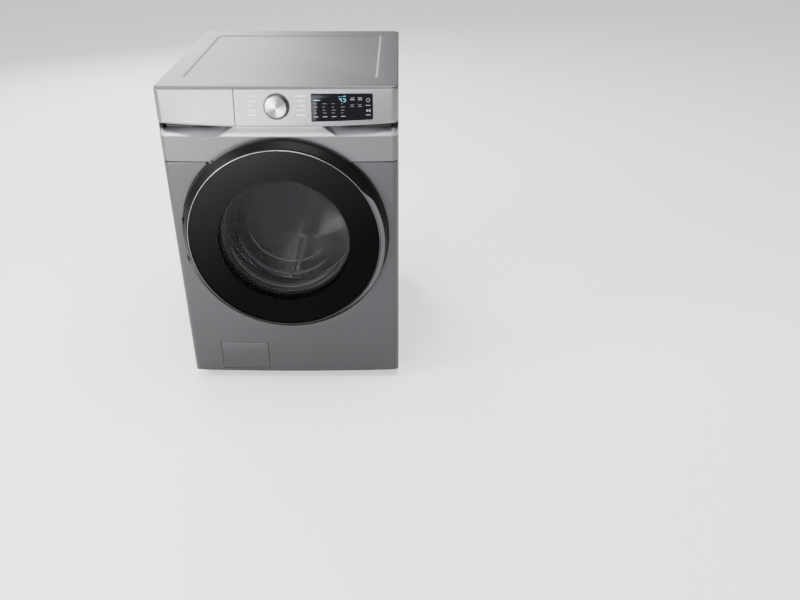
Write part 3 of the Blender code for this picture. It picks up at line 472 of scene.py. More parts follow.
def galvanised_sheet(name):
    """Zinc-coated steel: pale grey cells, each a little lighter or darker."""
    shade = Shade(name, (0.58, 0.59, 0.60), 0.42, 0.9)
    cells = shade.node("ShaderNodeTexVoronoi", {"feature": "F1"}, {"Vector": shade.place(), "Scale": 90.0}, 1)
    cell = shade.node("ShaderNodeSeparateColor", inputs={0: cells})
    shade.feed("Base Color", shade.mix(cell, (0.50, 0.51, 0.52), (0.66, 0.67, 0.68)))
    shade.feed("Roughness", shade.spread(cell, 0.34, 0.52))
    return shade


def turned_face(name):
    """Spun metal: a painted sheen makes the brightness swing with the angle round the knob, over fine turning
    rings.
    """
    shade = Shade(name, (0.62, 0.62, 0.63), 0.24, 1.0)
    x, _, z = shade.axes()
    angle = (z - KNOB_Z).call("ARCTAN2", x - KNOB_X)
    # Painted sheen: the colour runs from dark to pale with the angle round the knob.
    painted_sheen_swing = ((angle - math.radians(140)) * 2.0).call("COSINE")
    painted_sheen = (painted_sheen_swing * 0.5 + 0.5).call("POWER", 1.6)
    radius = ((x - KNOB_X).call("POWER", 2.0) + (z - KNOB_Z).call("POWER", 2.0)).call("SQRT")
    rings = (radius * 16000.0).call("SINE")
    shade.feed("Base Color", shade.mix(painted_sheen, (0.045, 0.045, 0.046), (0.42, 0.42, 0.43)))
    return shade.bump(rings, 0.10, 0.0001)


def trim_metal(name):
    """Dark chrome with a painted highlight along its upper half."""
    shade = Shade(name, (0.30, 0.30, 0.31), 0.18, 1.0)
    x, _, z = shade.axes()
    # Painted highlight: the ring is paler towards its upper left.
    level = shade.node("ShaderNodeMapRange", inputs={"Value": z - x * 0.3, "From Min": DOOR_Z - 0.22,
                                                     "From Max": DOOR_Z + 0.20})
    shade.feed("Base Color", shade.mix(level, (0.030, 0.030, 0.032), (0.24, 0.24, 0.25)))
    shade.feed("Roughness", shade.spread(shade.noise(20.0), 0.14, 0.24))
    return shade


def smoked_glass(name):
    """Glossy black outer glass that lets some light through inside the clear circle."""
    shade = Shade(name, (0.002, 0.002, 0.0025), 0.05, 0.0,
                  **{"Specular IOR Level": 0.01, "Coat Roughness": 0.04})
    x, _, z = shade.axes()
    # Painted reflection: the coat is made stronger towards the upper left of the dome.
    height = shade.node("ShaderNodeMapRange", inputs={"Value": z - x * 0.45, "From Min": 0.40,
                                                      "From Max": 0.90})
    shade.feed("Coat Weight", shade.spread(height.call("POWER", 1.6), 0.0, 0.30))
    radius = (x * x + (z - DOOR_Z) * (z - DOOR_Z)).call("SQRT")
    border = shade.node("ShaderNodeMapRange", inputs={"Value": radius, "From Min": CLEAR_R - 0.0012,
                                                      "From Max": CLEAR_R + 0.0012})
    shade.feed("Alpha", shade.spread(border, 0.42, 1.0))
    film = shade.noise(9.0, detail=2.0)
    shade.feed("Roughness", shade.spread(film, 0.03, 0.055))
    return shade


def clear_glass(name):
    """Bowl glass: a pale tint, mostly seen through, with painted reflection arcs on its lower side."""
    shade = Shade(name, (0.16, 0.17, 0.18), 0.03, 0.0, Alpha=0.22, **{"Coat Weight": 1.0})
    film = shade.noise(12.0, detail=3.0)
    shade.feed("Roughness", shade.spread(film, 0.02, 0.08))
    x, _, z = shade.axes()
    radius = (x * x + (z - DOOR_Z) * (z - DOOR_Z)).call("SQRT")
    # Painted reflection: pale, less clear arcs at three radii, only on the lower side of the bowl.
    glint_arcs = None
    for ring in BOWL_GLINT_RADII:
        off = (radius - ring).call("ABSOLUTE")
        line = shade.node("ShaderNodeMapRange", inputs={"Value": off, "From Min": 0.0008, "From Max": 0.0018,
                                                        "To Min": 1.0, "To Max": 0.0})
        glint_arcs = line if glint_arcs is None else glint_arcs + line
    lower_glint_mask = shade.node("ShaderNodeMapRange", inputs={"Value": z + x * 0.3, "From Min": DOOR_Z + 0.02,
                                                     "From Max": DOOR_Z - 0.12})
    shade.feed("Alpha", shade.spread(glint_arcs * lower_glint_mask, 0.22, 0.60))
    shade.feed("Base Color", shade.mix(glint_arcs * lower_glint_mask, (0.16, 0.17, 0.18), (0.62, 0.63, 0.64)))
    return shade


def rubber(name, colour, roughness=0.62):
    """Moulded rubber with a dusty bloom."""
    shade = Shade(name, colour, roughness)
    bloom = shade.noise(60.0, detail=5.0)
    shade.feed("Base Color", shade.mix(bloom, tuple(c * 0.85 for c in colour),
                                       tuple(min(c * 1.25, 1) for c in colour)))
    shade.feed("Roughness", shade.spread(bloom, roughness - 0.08, roughness + 0.12))
    return shade.bump(shade.noise(900.0, detail=2.0), 0.08, 0.0002)


def drum_steel(name):
    """Bright drum sheet with rows of small round holes, staggered row by row."""
    shade = Shade(name, (0.60, 0.60, 0.61), 0.22, 1.0)
    pattern = shade.node("ShaderNodeUVMap", {"uv_map": "pattern"})
    split = shade.node("ShaderNodeSeparateXYZ", inputs={0: pattern})
    u, v = split, Value(shade, split.socket.node.outputs[1])
    row = v.call("FLOOR")
    across = (u + (row * 0.5).call("FRACT")).call("FRACT") - 0.5
    along = v.call("FRACT") - 0.5
    distance = (across * across + along * along).call("SQRT")
    hole = shade.node("ShaderNodeMapRange", inputs={"Value": distance, "From Min": 0.13, "From Max": 0.17})
    dish = shade.node("ShaderNodeMapRange", inputs={"Value": distance, "From Min": 0.10, "From Max": 0.30})
    brush = shade.noise(1.0, (400.0, 6.0, 400.0), 2.0)
    metal = shade.mix(brush, (0.52, 0.52, 0.53), (0.70, 0.70, 0.71))
    shade.feed("Base Color", shade.mix(hole, (0.012, 0.012, 0.012), metal))
    shade.feed("Roughness", shade.spread(brush, 0.18, 0.30))
    return shade.bump(dish, 0.5, 0.0006)


def concrete(name):
    """Cast concrete with pores and grey patches."""
    shade = Shade(name, (0.46, 0.45, 0.43), 0.9)
    pores = shade.noise(240.0, detail=6.0)
    patch = shade.noise(18.0, detail=5.0)
    shade.feed("Base Color", shade.mix(patch, (0.36, 0.355, 0.34), (0.56, 0.55, 0.53)))
    return shade.bump(pores, 0.5, 0.001)


def glowing(name, colour, strength):
    """A lit segment of the display."""
    shade = Shade(name, colour, 0.4, 0.0, **{"Emission Strength": strength})
    level = shade.noise(400.0, detail=0.0)
    shade.feed("Emission Color", shade.mix(level, tuple(c * 0.92 for c in colour), colour))
    return shade


def printed(name, colour):
    """Small print on the fascia."""
    shade = Shade(name, colour, 0.45)
    wear = shade.noise(700.0, detail=2.0)
    return shade.feed("Base Color", shade.mix(wear, colour, tuple(min(c * 1.15, 1.0) for c in colour)))


def cast_metal(name):
    """Sand-cast aluminium with a soft pebbled skin."""
    shade = Shade(name, (0.60, 0.61, 0.62), 0.5, 0.9)
    skin = shade.noise(350.0, detail=4.0)
    shade.feed("Roughness", shade.spread(skin, 0.42, 0.62))
    return shade.bump(skin, 0.25, 0.0006)


def polished_black(name):
    """Deep black polished glass."""
    shade = Shade(name, (0.006, 0.006, 0.008), 0.08, 0.0, **{"Specular IOR Level": 0.06})
    film = shade.noise(30.0, detail=2.0)
    return shade.feed("Roughness", shade.spread(film, 0.045, 0.09))


FINISHES = {
    # Paints with a fade below 1.0 carry painted shade: darker low down, paler higher up.
    "platinum_paint": brushed_paint,
    # Upper front paint with a painted highlight on the band above the rim.
    "banded_paint": lambda n: brushed_paint(n, (0.082, 0.0827, 0.087), band=4.2),
    "platinum_plastic": lambda n: brushed_paint(n, (0.24, 0.242, 0.250), 0.36, 0.72),
    "brushed_metal": lambda n: polished_metal(n, (0.60, 0.60, 0.61), 0.24),
    "motor_casing": lambda n: satin_plastic(n, (0.05, 0.05, 0.052), 0.40, 0.6),
    "fascia_paint": lambda n: brushed_paint(n, (0.185, 0.187, 0.195), 0.33, 0.84, painted_fade=1.0),
    "top_paint": lambda n: brushed_paint(n, (0.110, 0.111, 0.116), 0.44, 0.80, painted_fade=1.0),
    "bezel_black": lambda n: satin_plastic(n, (0.004, 0.004, 0.0045), 0.34, 0.0, 1800.0, 0.06, 0.07),
    "galvanised": galvanised_sheet,
    "stainless": drum_steel,
    "plain_steel": lambda n: polished_metal(n, (0.60, 0.60, 0.61), 0.26),
    "chrome": lambda n: polished_metal(n, (0.46, 0.46, 0.47), 0.14, 0.03),
    "trim_metal": trim_metal,
    "spring_steel": lambda n: polished_metal(n, (0.30, 0.30, 0.31), 0.38),
    "turned_face": turned_face,
    "smoked_glass": smoked_glass,
    "display_glass": polished_black,
    "clear_glass": clear_glass,
    "grey_rubber": lambda n: rubber(n, (0.23, 0.235, 0.24)),
    "black_rubber": lambda n: rubber(n, (0.022, 0.022, 0.023)),
    "white_plastic": lambda n: satin_plastic(n, (0.74, 0.74, 0.72), 0.42),
    "grey_plastic": lambda n: satin_plastic(n, (0.30, 0.31, 0.32), 0.48),
    "dark_plastic": lambda n: satin_plastic(n, (0.035, 0.035, 0.038), 0.42),
    "blue_plastic": lambda n: satin_plastic(n, (0.06, 0.22, 0.52), 0.38),
    "concrete": concrete,
    "cast_aluminium": cast_metal,
    "lit_cyan": lambda n: glowing(n, (0.20, 0.62, 0.85), 1.0),
    "print_light": lambda n: printed(n, (0.84, 0.85, 0.86)),
    "print_key": lambda n: printed(n, (0.27, 0.28, 0.30)),
    "print_grey": lambda n: printed(n, (0.11, 0.12, 0.13)),
}


# ---------------------------------------------------------------- pieces

def add_piece(name, mesh, body, finish, replaces=()):
    """Link one finished mesh, give it its finish, and let it ride on its body."""
    mesh.name = name
    mesh.materials.clear()
    mesh.materials.append(material(finish))
    made = bpy.data.objects.new(name, mesh)
    bpy.context.scene.collection.objects.link(made)
    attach(made, body)
    if replaces:
        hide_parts(*replaces)
    return made


def cut_out(mesh, cutters):
    """The mesh less the closed cutter meshes."""
    target = bpy.data.objects.new("cut_target", mesh)
    bpy.context.scene.collection.objects.link(target)
    tools = []
    for i, cutter in enumerate(cutters):
        tool = bpy.data.objects.new("cut_tool_%d" % i, cutter)
        bpy.context.scene.collection.objects.link(tool)
        change = target.modifiers.new("cut", "BOOLEAN")
        change.operation = "DIFFERENCE"
        change.solver = "EXACT"
        change.object = tool
        tools.append(tool)
    bpy.context.view_layer.update()
    evaluated = target.evaluated_get(bpy.context.evaluated_depsgraph_get())
    result = bpy.data.meshes.new_from_object(evaluated)
    for old in [target] + tools:
        data = old.data
        bpy.data.objects.remove(old)
        bpy.data.meshes.remove(data)
    result.materials.clear()
    result.shade_smooth()
    result.set_sharp_from_angle(angle=math.radians(32))
    return result


def dress(node, finish):
    """Give a CAD node its finish."""
    target = frame["nodes"][node]
    target.data.materials.clear()
    target.data.materials.append(material(finish))


# Cabinet front: shared shapes

def corner_back(x):
    """How far the rounded upright corner falls back: r - sqrt(r^2 - over^2)."""
    over = np.clip(np.abs(x) - (HALF - CORNER), 0.0, CORNER)
    return CORNER - np.sqrt(np.maximum(CORNER ** 2 - over ** 2, 0.0))


def plan_front(x):
    """Bowed front: furthest forward in the middle, by a parabola in x, round at the corners."""
    return FRONT - BOW * (1 - (x / HALF) ** 2) + corner_back(x)


def fascia_low(x):
    """Lower edge of the fascia, a shallow parabola that rises to the sides."""
    return 0.876 + 0.008 * (x / HALF) ** 2


def face_at(x, z):
    """Leaning fascia: straight from its top edge to its bowed lower edge."""
    top = FRONT + 0.005
    bottom = FRONT - 0.016 + 0.018 * (x / HALF) ** 2
    share = (FASCIA_TOP - z) / (FASCIA_TOP - fascia_low(x))
    return top + (bottom - top) * share + corner_back(x)


def upper_front(x, z):
    """Bowed face that leans back into a band above the rim, with a scoop let in each side."""
    side = np.abs(x)
    y = plan_front(x) + 0.010 * smooth(z, RIM_Z, RIM_Z + 0.034)
    rim = RIM_Z + 0.012 * smooth(side, 0.24, 0.32)
    inner = 0.166 - 0.041 * np.clip((z - RIM_Z) / 0.029, 0.0, 1.0)
    across = smooth(side, inner, inner + 0.012) * (1 - smooth(side, 0.318, 0.332))
    rise = np.clip((z - rim) / (0.875 - rim), 0.0, 1.0)
    return np.minimum(y + 0.020 * across * np.sin(rise * math.pi / 2), FRONT + RETURN - 0.003)


def fine_columns(start, end, spacing):
    """X places in even steps, with extra ones round the corners."""
    even = np.linspace(start, end, int(round((end - start) / spacing)) + 1)
    turn = HALF - CORNER + CORNER * np.sin(np.linspace(0, math.pi / 2, 14))
    extra = np.concatenate([turn, -turn])
    places = np.unique(np.round(np.concatenate([even, extra[(extra > start) & (extra < end)]]), 5))
    keep = np.concatenate([[True], np.diff(places) > 0.00012])
    return places[keep]


def edge_point(angle, turn, inset):
    """Points on the lower front's border, bent back by turn, on its outer or inner face."""
    c, s = np.cos(angle), np.sin(angle)
    bend = 0.004
    reach_x = HALF - CORNER
    reach_z = np.where(s > 0, SEAM - GAP - DOOR_Z, DOOR_Z - PANEL_LOW) - bend
    to_side = reach_x / np.maximum(np.abs(c), 1e-6)
    to_end = reach_z / np.maximum(np.abs(s), 1e-6)
    reach = np.minimum(to_side, to_end)
    sunk = reach < RECESS_R + 0.004
    x, z = reach * c, reach * s
    y = inset + np.where(sunk, RECESS_Y, plan_front(x))
    ends, sides = to_end <= to_side + 1e-6, to_side <= to_end + 1e-6
    z = z + np.where(ends, np.sign(s) * (bend - inset) * math.sin(turn), 0.0)
    x = x + np.where(sides, np.sign(c) * (CORNER - inset) * math.sin(turn), 0.0)
    back = np.where(sides, CORNER - inset, bend - inset) * (1 - math.cos(turn))
    return np.stack([x, y + back, DOOR_Z + z], -1), reach, sunk


def front_panel_mesh():
    """Rings from the door opening out over the round recess and the bowed face to the bent edges."""
    thick = 0.0018
    corners = [math.atan2(z, x) % math.tau for x in (-(HALF - CORNER), HALF - CORNER)
               for z in (SEAM - GAP - DOOR_Z - 0.004, PANEL_LOW + 0.004 - DOOR_Z)]
    even = np.arange(0, math.tau, math.tau / 360)
    near = np.min(np.abs(even[:, None] - np.array(corners)[None]), axis=1) > 0.008
    angle = np.sort(np.concatenate([even[near], corners]))
    faces = []
    for inset in (0.0, thick):
        _, reach, sunk = edge_point(angle, 0.0, inset)
        rim = [(OPENING_R, FRONT + 0.016), (OPENING_R, RECESS_Y + 0.002),
               (OPENING_R + 0.0004, RECESS_Y + 0.0008),
               (OPENING_R + 0.0014, RECESS_Y), (OPENING_R + 0.03, RECESS_Y), (RECESS_R - 0.0012, RECESS_Y),
               (RECESS_R - 0.0004, RECESS_Y - 0.0003)]
        rings = []
        for radius, y in rim:
            r = np.minimum(radius + inset, reach - 0.0016)
            rings.append(np.stack([r * np.cos(angle),
                                   np.full_like(r, y + (inset if y < RECESS_Y + 0.01 else 0.0)),
                                   DOOR_Z + r * np.sin(angle)], -1))
        for step in (0.0, 0.0006, 0.0014):
            r = np.minimum(RECESS_R + inset + step, reach - 0.0012 + step * 0.5)
            x = r * np.cos(angle)
            face = np.where(sunk, RECESS_Y, plan_front(x) + (0.0012, 0.0003,
                                                             0.0)[int(step > 0) + int(step > 0.001)])
            rings.append(np.stack([x, face + inset, DOOR_Z + r * np.sin(angle)], -1))
        start = np.minimum(RECESS_R + inset + 0.0014, reach - 0.0005)
        for share in np.linspace(0.12, 0.88, 8):
            r = start + (reach - start) * share
            x = r * np.cos(angle)
            rings.append(np.stack([x, inset + np.where(sunk, RECESS_Y, plan_front(x)),
                                   DOOR_Z + r * np.sin(angle)], -1))
        rings += [edge_point(angle, turn, inset)[0] for turn in np.linspace(0, math.pi / 2, 9)]
        last = rings[-1].copy()
        last[:, 1] = FRONT + RETURN
        rings.append(last)
        faces.append(rings)
    grid = np.array(faces[0] + faces[1][::-1])
    mesh = surface("front_panel", grid, wrap_rows=True)
    flap = outline([(FLAP_LOW.x - GAP, FLAP_LOW.z - GAP, 0.002), (FLAP_HIGH.x + GAP, FLAP_LOW.z - GAP, 0.002),
                    (FLAP_HIGH.x + GAP, FLAP_HIGH.z + GAP, 0.007),
                    (FLAP_LOW.x - GAP, FLAP_HIGH.z + GAP, 0.007)], 5)
    slot = outline([(0.233, DOOR_Z - 0.020, 0.003), (0.260, DOOR_Z - 0.020, 0.003),
                    (0.260, DOOR_Z + 0.020, 0.003), (0.233, DOOR_Z + 0.020, 0.003)], 4)
    return cut_out(mesh, [prism_mesh("flap_cut", flap, FRONT - 0.03, FRONT + 0.01),
                          prism_mesh("slot_cut", slot, FRONT - 0.03, FRONT + 0.01)])


def upper_panel_mesh():
    """Columns of one profile each: recess, bowed face, rim, band or scoop, then back down behind."""
    x = fine_columns(-HALF, HALF, 0.0022)[:, None]
    cut = np.sqrt(np.maximum(RECESS_R ** 2 - x ** 2, 0.0)) + DOOR_Z
    deep = cut > SEAM + 0.004
    cut = np.clip(cut, SEAM + 0.004, RIM_Z - 0.001)
    edge = SEAM + 0.0008
    low = edge + (cut - 0.0006 - edge) * np.linspace(0, 1, 10)[None]
    high = cut + 0.0006 + (0.8755 - cut - 0.0006) * np.linspace(0, 1, 60)[None]
    low_y = np.where(deep, np.maximum(RECESS_Y, plan_front(x)), upper_front(x, low))
    high_y = upper_front(x, high)
    round_y = low_y[:, :1] + 0.0012
    front = np.concatenate([np.stack([round_y, np.full_like(round_y, SEAM)], -1),
                            np.stack([low_y, low], -1), np.stack([high_y, high], -1)], 1)
    wall = np.abs(x) > HALF - 0.0026
    back = front[:, ::-1].copy()
    back[..., 0] = np.where(wall, FRONT + RETURN, np.minimum(back[..., 0] + 0.0022, FRONT + RETURN))
    section = np.concatenate([front, back], 1)
    grid = np.concatenate([np.broadcast_to(x[..., None], section.shape[:2] + (1,)), section], -1)
    return surface("front_upper_panel", grid, caps=True, sharp=28)


def fascia_mesh(name, start, end):
    """Columns of one hollow profile: leaning face with soft edges, and closed ends."""
    wall = 0.0025
    x = fine_columns(start, end, 0.004)
    x = np.unique(np.concatenate([x, [start + 0.0003, start + 0.0009, start + wall, start + wall + 0.0002,
                                      end - 0.0003, end - 0.0009, end - wall, end - wall - 0.0002]]))
    turn = np.clip(np.abs(x) - (HALF - FASCIA_CORNER), 0.0, FASCIA_CORNER)
    low = fascia_low(x) + FASCIA_CORNER - np.sqrt(FASCIA_CORNER ** 2 - turn ** 2)
    rear = np.full_like(x, FRONT + RETURN)
    ends = (x < start + wall + 0.0001) | (x > end - wall - 0.0001)
    soft = 0.0007 * (1 - np.clip(np.minimum(x - start, end - x) / 0.0009, 0, 1)) ** 2
    inner_low = np.where(ends, rear - 0.0005, np.minimum(face_at(x, low + wall) + wall, rear - 0.0005))
    inner_top = np.where(ends, rear - 0.0005, np.minimum(face_at(x, 0.9535) + wall, rear - 0.0005))
    step = np.minimum(FRONT + 0.0105 + corner_back(x), rear)
    rows = [(step, FASCIA_TOP - 0 * x)]
    lip = 0.0026
    for t in np.linspace(0, 1, 6):
        a = t * math.pi / 2
        z = FASCIA_TOP - lip * (1 - math.cos(a))
        y = face_at(x, FASCIA_TOP - lip) + lip * (1 - math.sin(a)) + soft
        rows.append((np.minimum(y, step - 0.0002), z + 0 * x))
    for share in np.linspace(0.08, 0.94, 12):
        z = FASCIA_TOP - lip + (low + 0.0022 - FASCIA_TOP + lip) * share
        rows.append((face_at(x, z) + soft, z))
    for t in np.linspace(0, 1, 5):
        a = t * math.pi / 2
        z = low + 0.0022 * (1 - math.sin(a))
        rows.append((np.minimum(face_at(x, low + 0.0022) + soft + 0.0022 * (1 - math.cos(a)),
                                rear - 0.0002), z))
    rows += [(rear, low), (rear, low + wall), (inner_low, low + wall), (inner_top, 0.9535 + 0 * x),
             (rear, 0.9535 + 0 * x), (rear, 0.9560 + 0 * x), (step, 0.9562 + 0 * x)]
    section = np.stack([np.stack(row, -1) for row in rows], 1)
    grid = np.concatenate([np.broadcast_to(x[:, None, None], section.shape[:2] + (1,)), section], -1)
    return surface(name, grid, caps=True, sharp=28)


def rounded_ring(x, y0, y1, radius, z, count=14):
    """Rounded rectangle about X = 0 at one height."""
    corner = np.linspace(0, math.pi / 2, count)
    parts = []
    for cx, cy, start in ((x - radius, y1 - radius, 0), (-x + radius, y1 - radius, 1),
                          (-x + radius, y0 + radius, 2), (x - radius, y0 + radius, 3)):
        a = corner + start * math.pi / 2
        parts.append(np.stack([cx + radius * np.cos(a), cy + radius * np.sin(a), np.full_like(a, z)], -1))
    return np.concatenate(parts)


def top_panel_mesh():
    """Rings from the hollow underside over the rounded edge to the sunken field."""
    y0, y1, low = TOP_LOW.y, TOP_HIGH.y, TOP_LOW.z
    rings = [rounded_ring(HALF - 0.002, y0 + 0.002, y1 - 0.002, 0.018, HEIGHT - 0.005),
             rounded_ring(HALF - 0.002, y0 + 0.002, y1 - 0.002, 0.018, low),
             rounded_ring(HALF - 0.0004, y0 + 0.0004, y1 - 0.0004, CORNER, low),
             rounded_ring(HALF, y0, y1, CORNER, low + 0.0006)]
    lip = 0.0042
    for a in np.linspace(0, math.pi / 2, 8):
        inset = lip * (1 - math.cos(a))
        rings.append(rounded_ring(HALF - inset, y0 + inset, y1 - inset, CORNER - inset,
                                  HEIGHT - lip + lip * math.sin(a)))
    x, front, back = 0.2835, -0.2395, 0.3225
    for share, drop in ((0.0, 0.0), (0.06, 0.02), (0.2, 0.14), (0.5, 0.5), (0.8, 0.86), (0.94, 0.98),
                        (1.0, 1.0)):
        inset = 0.0080 * share
        rings.append(rounded_ring(x - inset, front + inset, back - inset, 0.019 - inset * 0.6,
                                  HEIGHT - 0.0025 * drop))
    return surface("top_panel", np.array(rings), caps=True, sharp=28)


DISPLAY_DEPTH = -0.0021


def rectangle(x0, x1, z0, z1):
    """Four corners, counterclockwise."""
    return np.array([(x0, z0), (x1, z0), (x1, z1), (x0, z1)])


def laid_plate(name, shape, low, high):
    """Thin plate on the leaning face: its y is the face's, plus a depth."""
    middle = shape.mean(0)
    rows = []
    for scale, depth in ((1.0, low), (1.0, high + 0.00005), (0.98, high)):
        flat = middle + (shape - middle) * scale
        rows.append(np.column_stack([flat[:, 0], face_at(flat[:, 0], flat[:, 1]) + depth, flat[:, 1]]))
    return surface(name, np.array(rows), caps=True)


def laid_bar(x0, x1, z, height, depth):
    """Bar with round ends on the leaning face."""
    half = height / 2
    shape = outline([(x0, z - half, half), (x1, z - half, half), (x1, z + half, half),
                     (x0, z + half, half)], 3)
    return laid_plate("bar", shape, depth, depth - 0.0002)


def laid_ring(name, x, z, radius, width, depth):
    """Flat ring on the leaning face: x = r cos a, z = r sin a."""
    angle = np.arange(48)[:, None] * math.tau / 48
    reach = radius + np.array([0.0, width, width, 0.0])[None] - width / 2
    level = depth - np.array([0.0, 0.0, 0.0002, 0.0002])[None]
    u, v = x + reach * np.cos(angle), z + reach * np.sin(angle)
    return surface(name, np.stack([u, face_at(u, v) + level, v], -1), wrap_rows=True)


class WASHER_PG_sizes(bpy.types.PropertyGroup):
    """Sizes and colours that a user may change."""
    ring_steps: IntProperty(name="Ring steps", description="Steps round the door's rings", default=256,
                            min=64)
    hole_pitch: FloatProperty(name="Hole pitch", description="Distance between holes in the drum",
                              default=0.0165, min=0.008, unit="LENGTH")
    key_power: FloatProperty(name="Key light", description="Power of the main light", default=160.0, min=0.0)
    floor_colour: FloatVectorProperty(name="Floor", description="Colour of the floor", subtype="COLOR",
                                      default=(0.95, 0.95, 0.95), min=0.0, max=1.0)


class WASHER_OT_cabinet(bpy.types.Operator):
    """Side, rear and top panels, base and crossbar"""
    bl_idname = "washer.cabinet"
    bl_label = "Cabinet"

    def execute(self, context):
        add_piece("top_plate", top_panel_mesh(), "cabinet", "top_paint", ["top_panel"])
        for part in frame["record"]["subparts"]:
            dress(part["node"], part["material_slot"])
        for node in ("hinge_bracket", "hinge_arm", "door_rear_frame"):
            dress(node, "bezel_black")
        return {"FINISHED"}


class WASHER_OT_front(bpy.types.Operator):
    """Lower front panel, upper front panel and the drain flap"""
    bl_idname = "washer.front"
    bl_label = "Front panels"

    def execute(self, context):
        add_piece("lower_front", front_panel_mesh(), "cabinet", "platinum_paint",
                  ["front_panel"])
        add_piece("upper_front", upper_panel_mesh(), "cabinet", "banded_paint",
                  ["front_upper_panel"])
        add_piece("drain_flap", self.flap(), "filter_flap", "platinum_paint",
                  ["filter_access_door"])
        return {"FINISHED"}

    def flap(self):
        """Columns of one section each: the top corners fall as r - sqrt(r^2 - over^2), the edges are soft."""
        gap, radius, soft = 0.0005, 0.007, 0.0007
        x0, x1, low = FLAP_LOW.x + gap, FLAP_HIGH.x - gap, FLAP_LOW.z + gap
        turn = radius * (1 - np.cos(np.linspace(0, math.pi / 2, 10)))
        x = np.concatenate([x0 + turn, np.linspace(x0 + radius, x1 - radius, 40)[1:-1], x1 - turn[::-1]])
        over = np.clip(np.abs(x - (x0 + x1) / 2) - ((x1 - x0) / 2 - radius), 0, radius)
        top = FLAP_HIGH.z - gap - (radius - np.sqrt(radius ** 2 - over ** 2))
        side = soft * np.clip(1 - np.minimum(x - x0, x1 - x) / soft, 0, 1) ** 2
        rows = []
        for share, drop in ((0, 1), (0.003, 0.3), (0.008, 0), (0.3, 0), (0.6, 0), (0.992, 0), (0.997, 0.3),
                            (1, 1)):
            rows.append((plan_front(x) + side + soft * drop, low + (top - low) * share))
        rows += [(plan_front(x) + 0.0018, top), (plan_front(x) + 0.0018, low + 0 * x)]
        section = np.stack([np.stack(row, -1) for row in rows], 1)
        grid = np.concatenate([np.broadcast_to(x[:, None, None], section.shape[:2] + (1,)), section], -1)
        return surface("drain_flap", grid, caps=True, sharp=28)


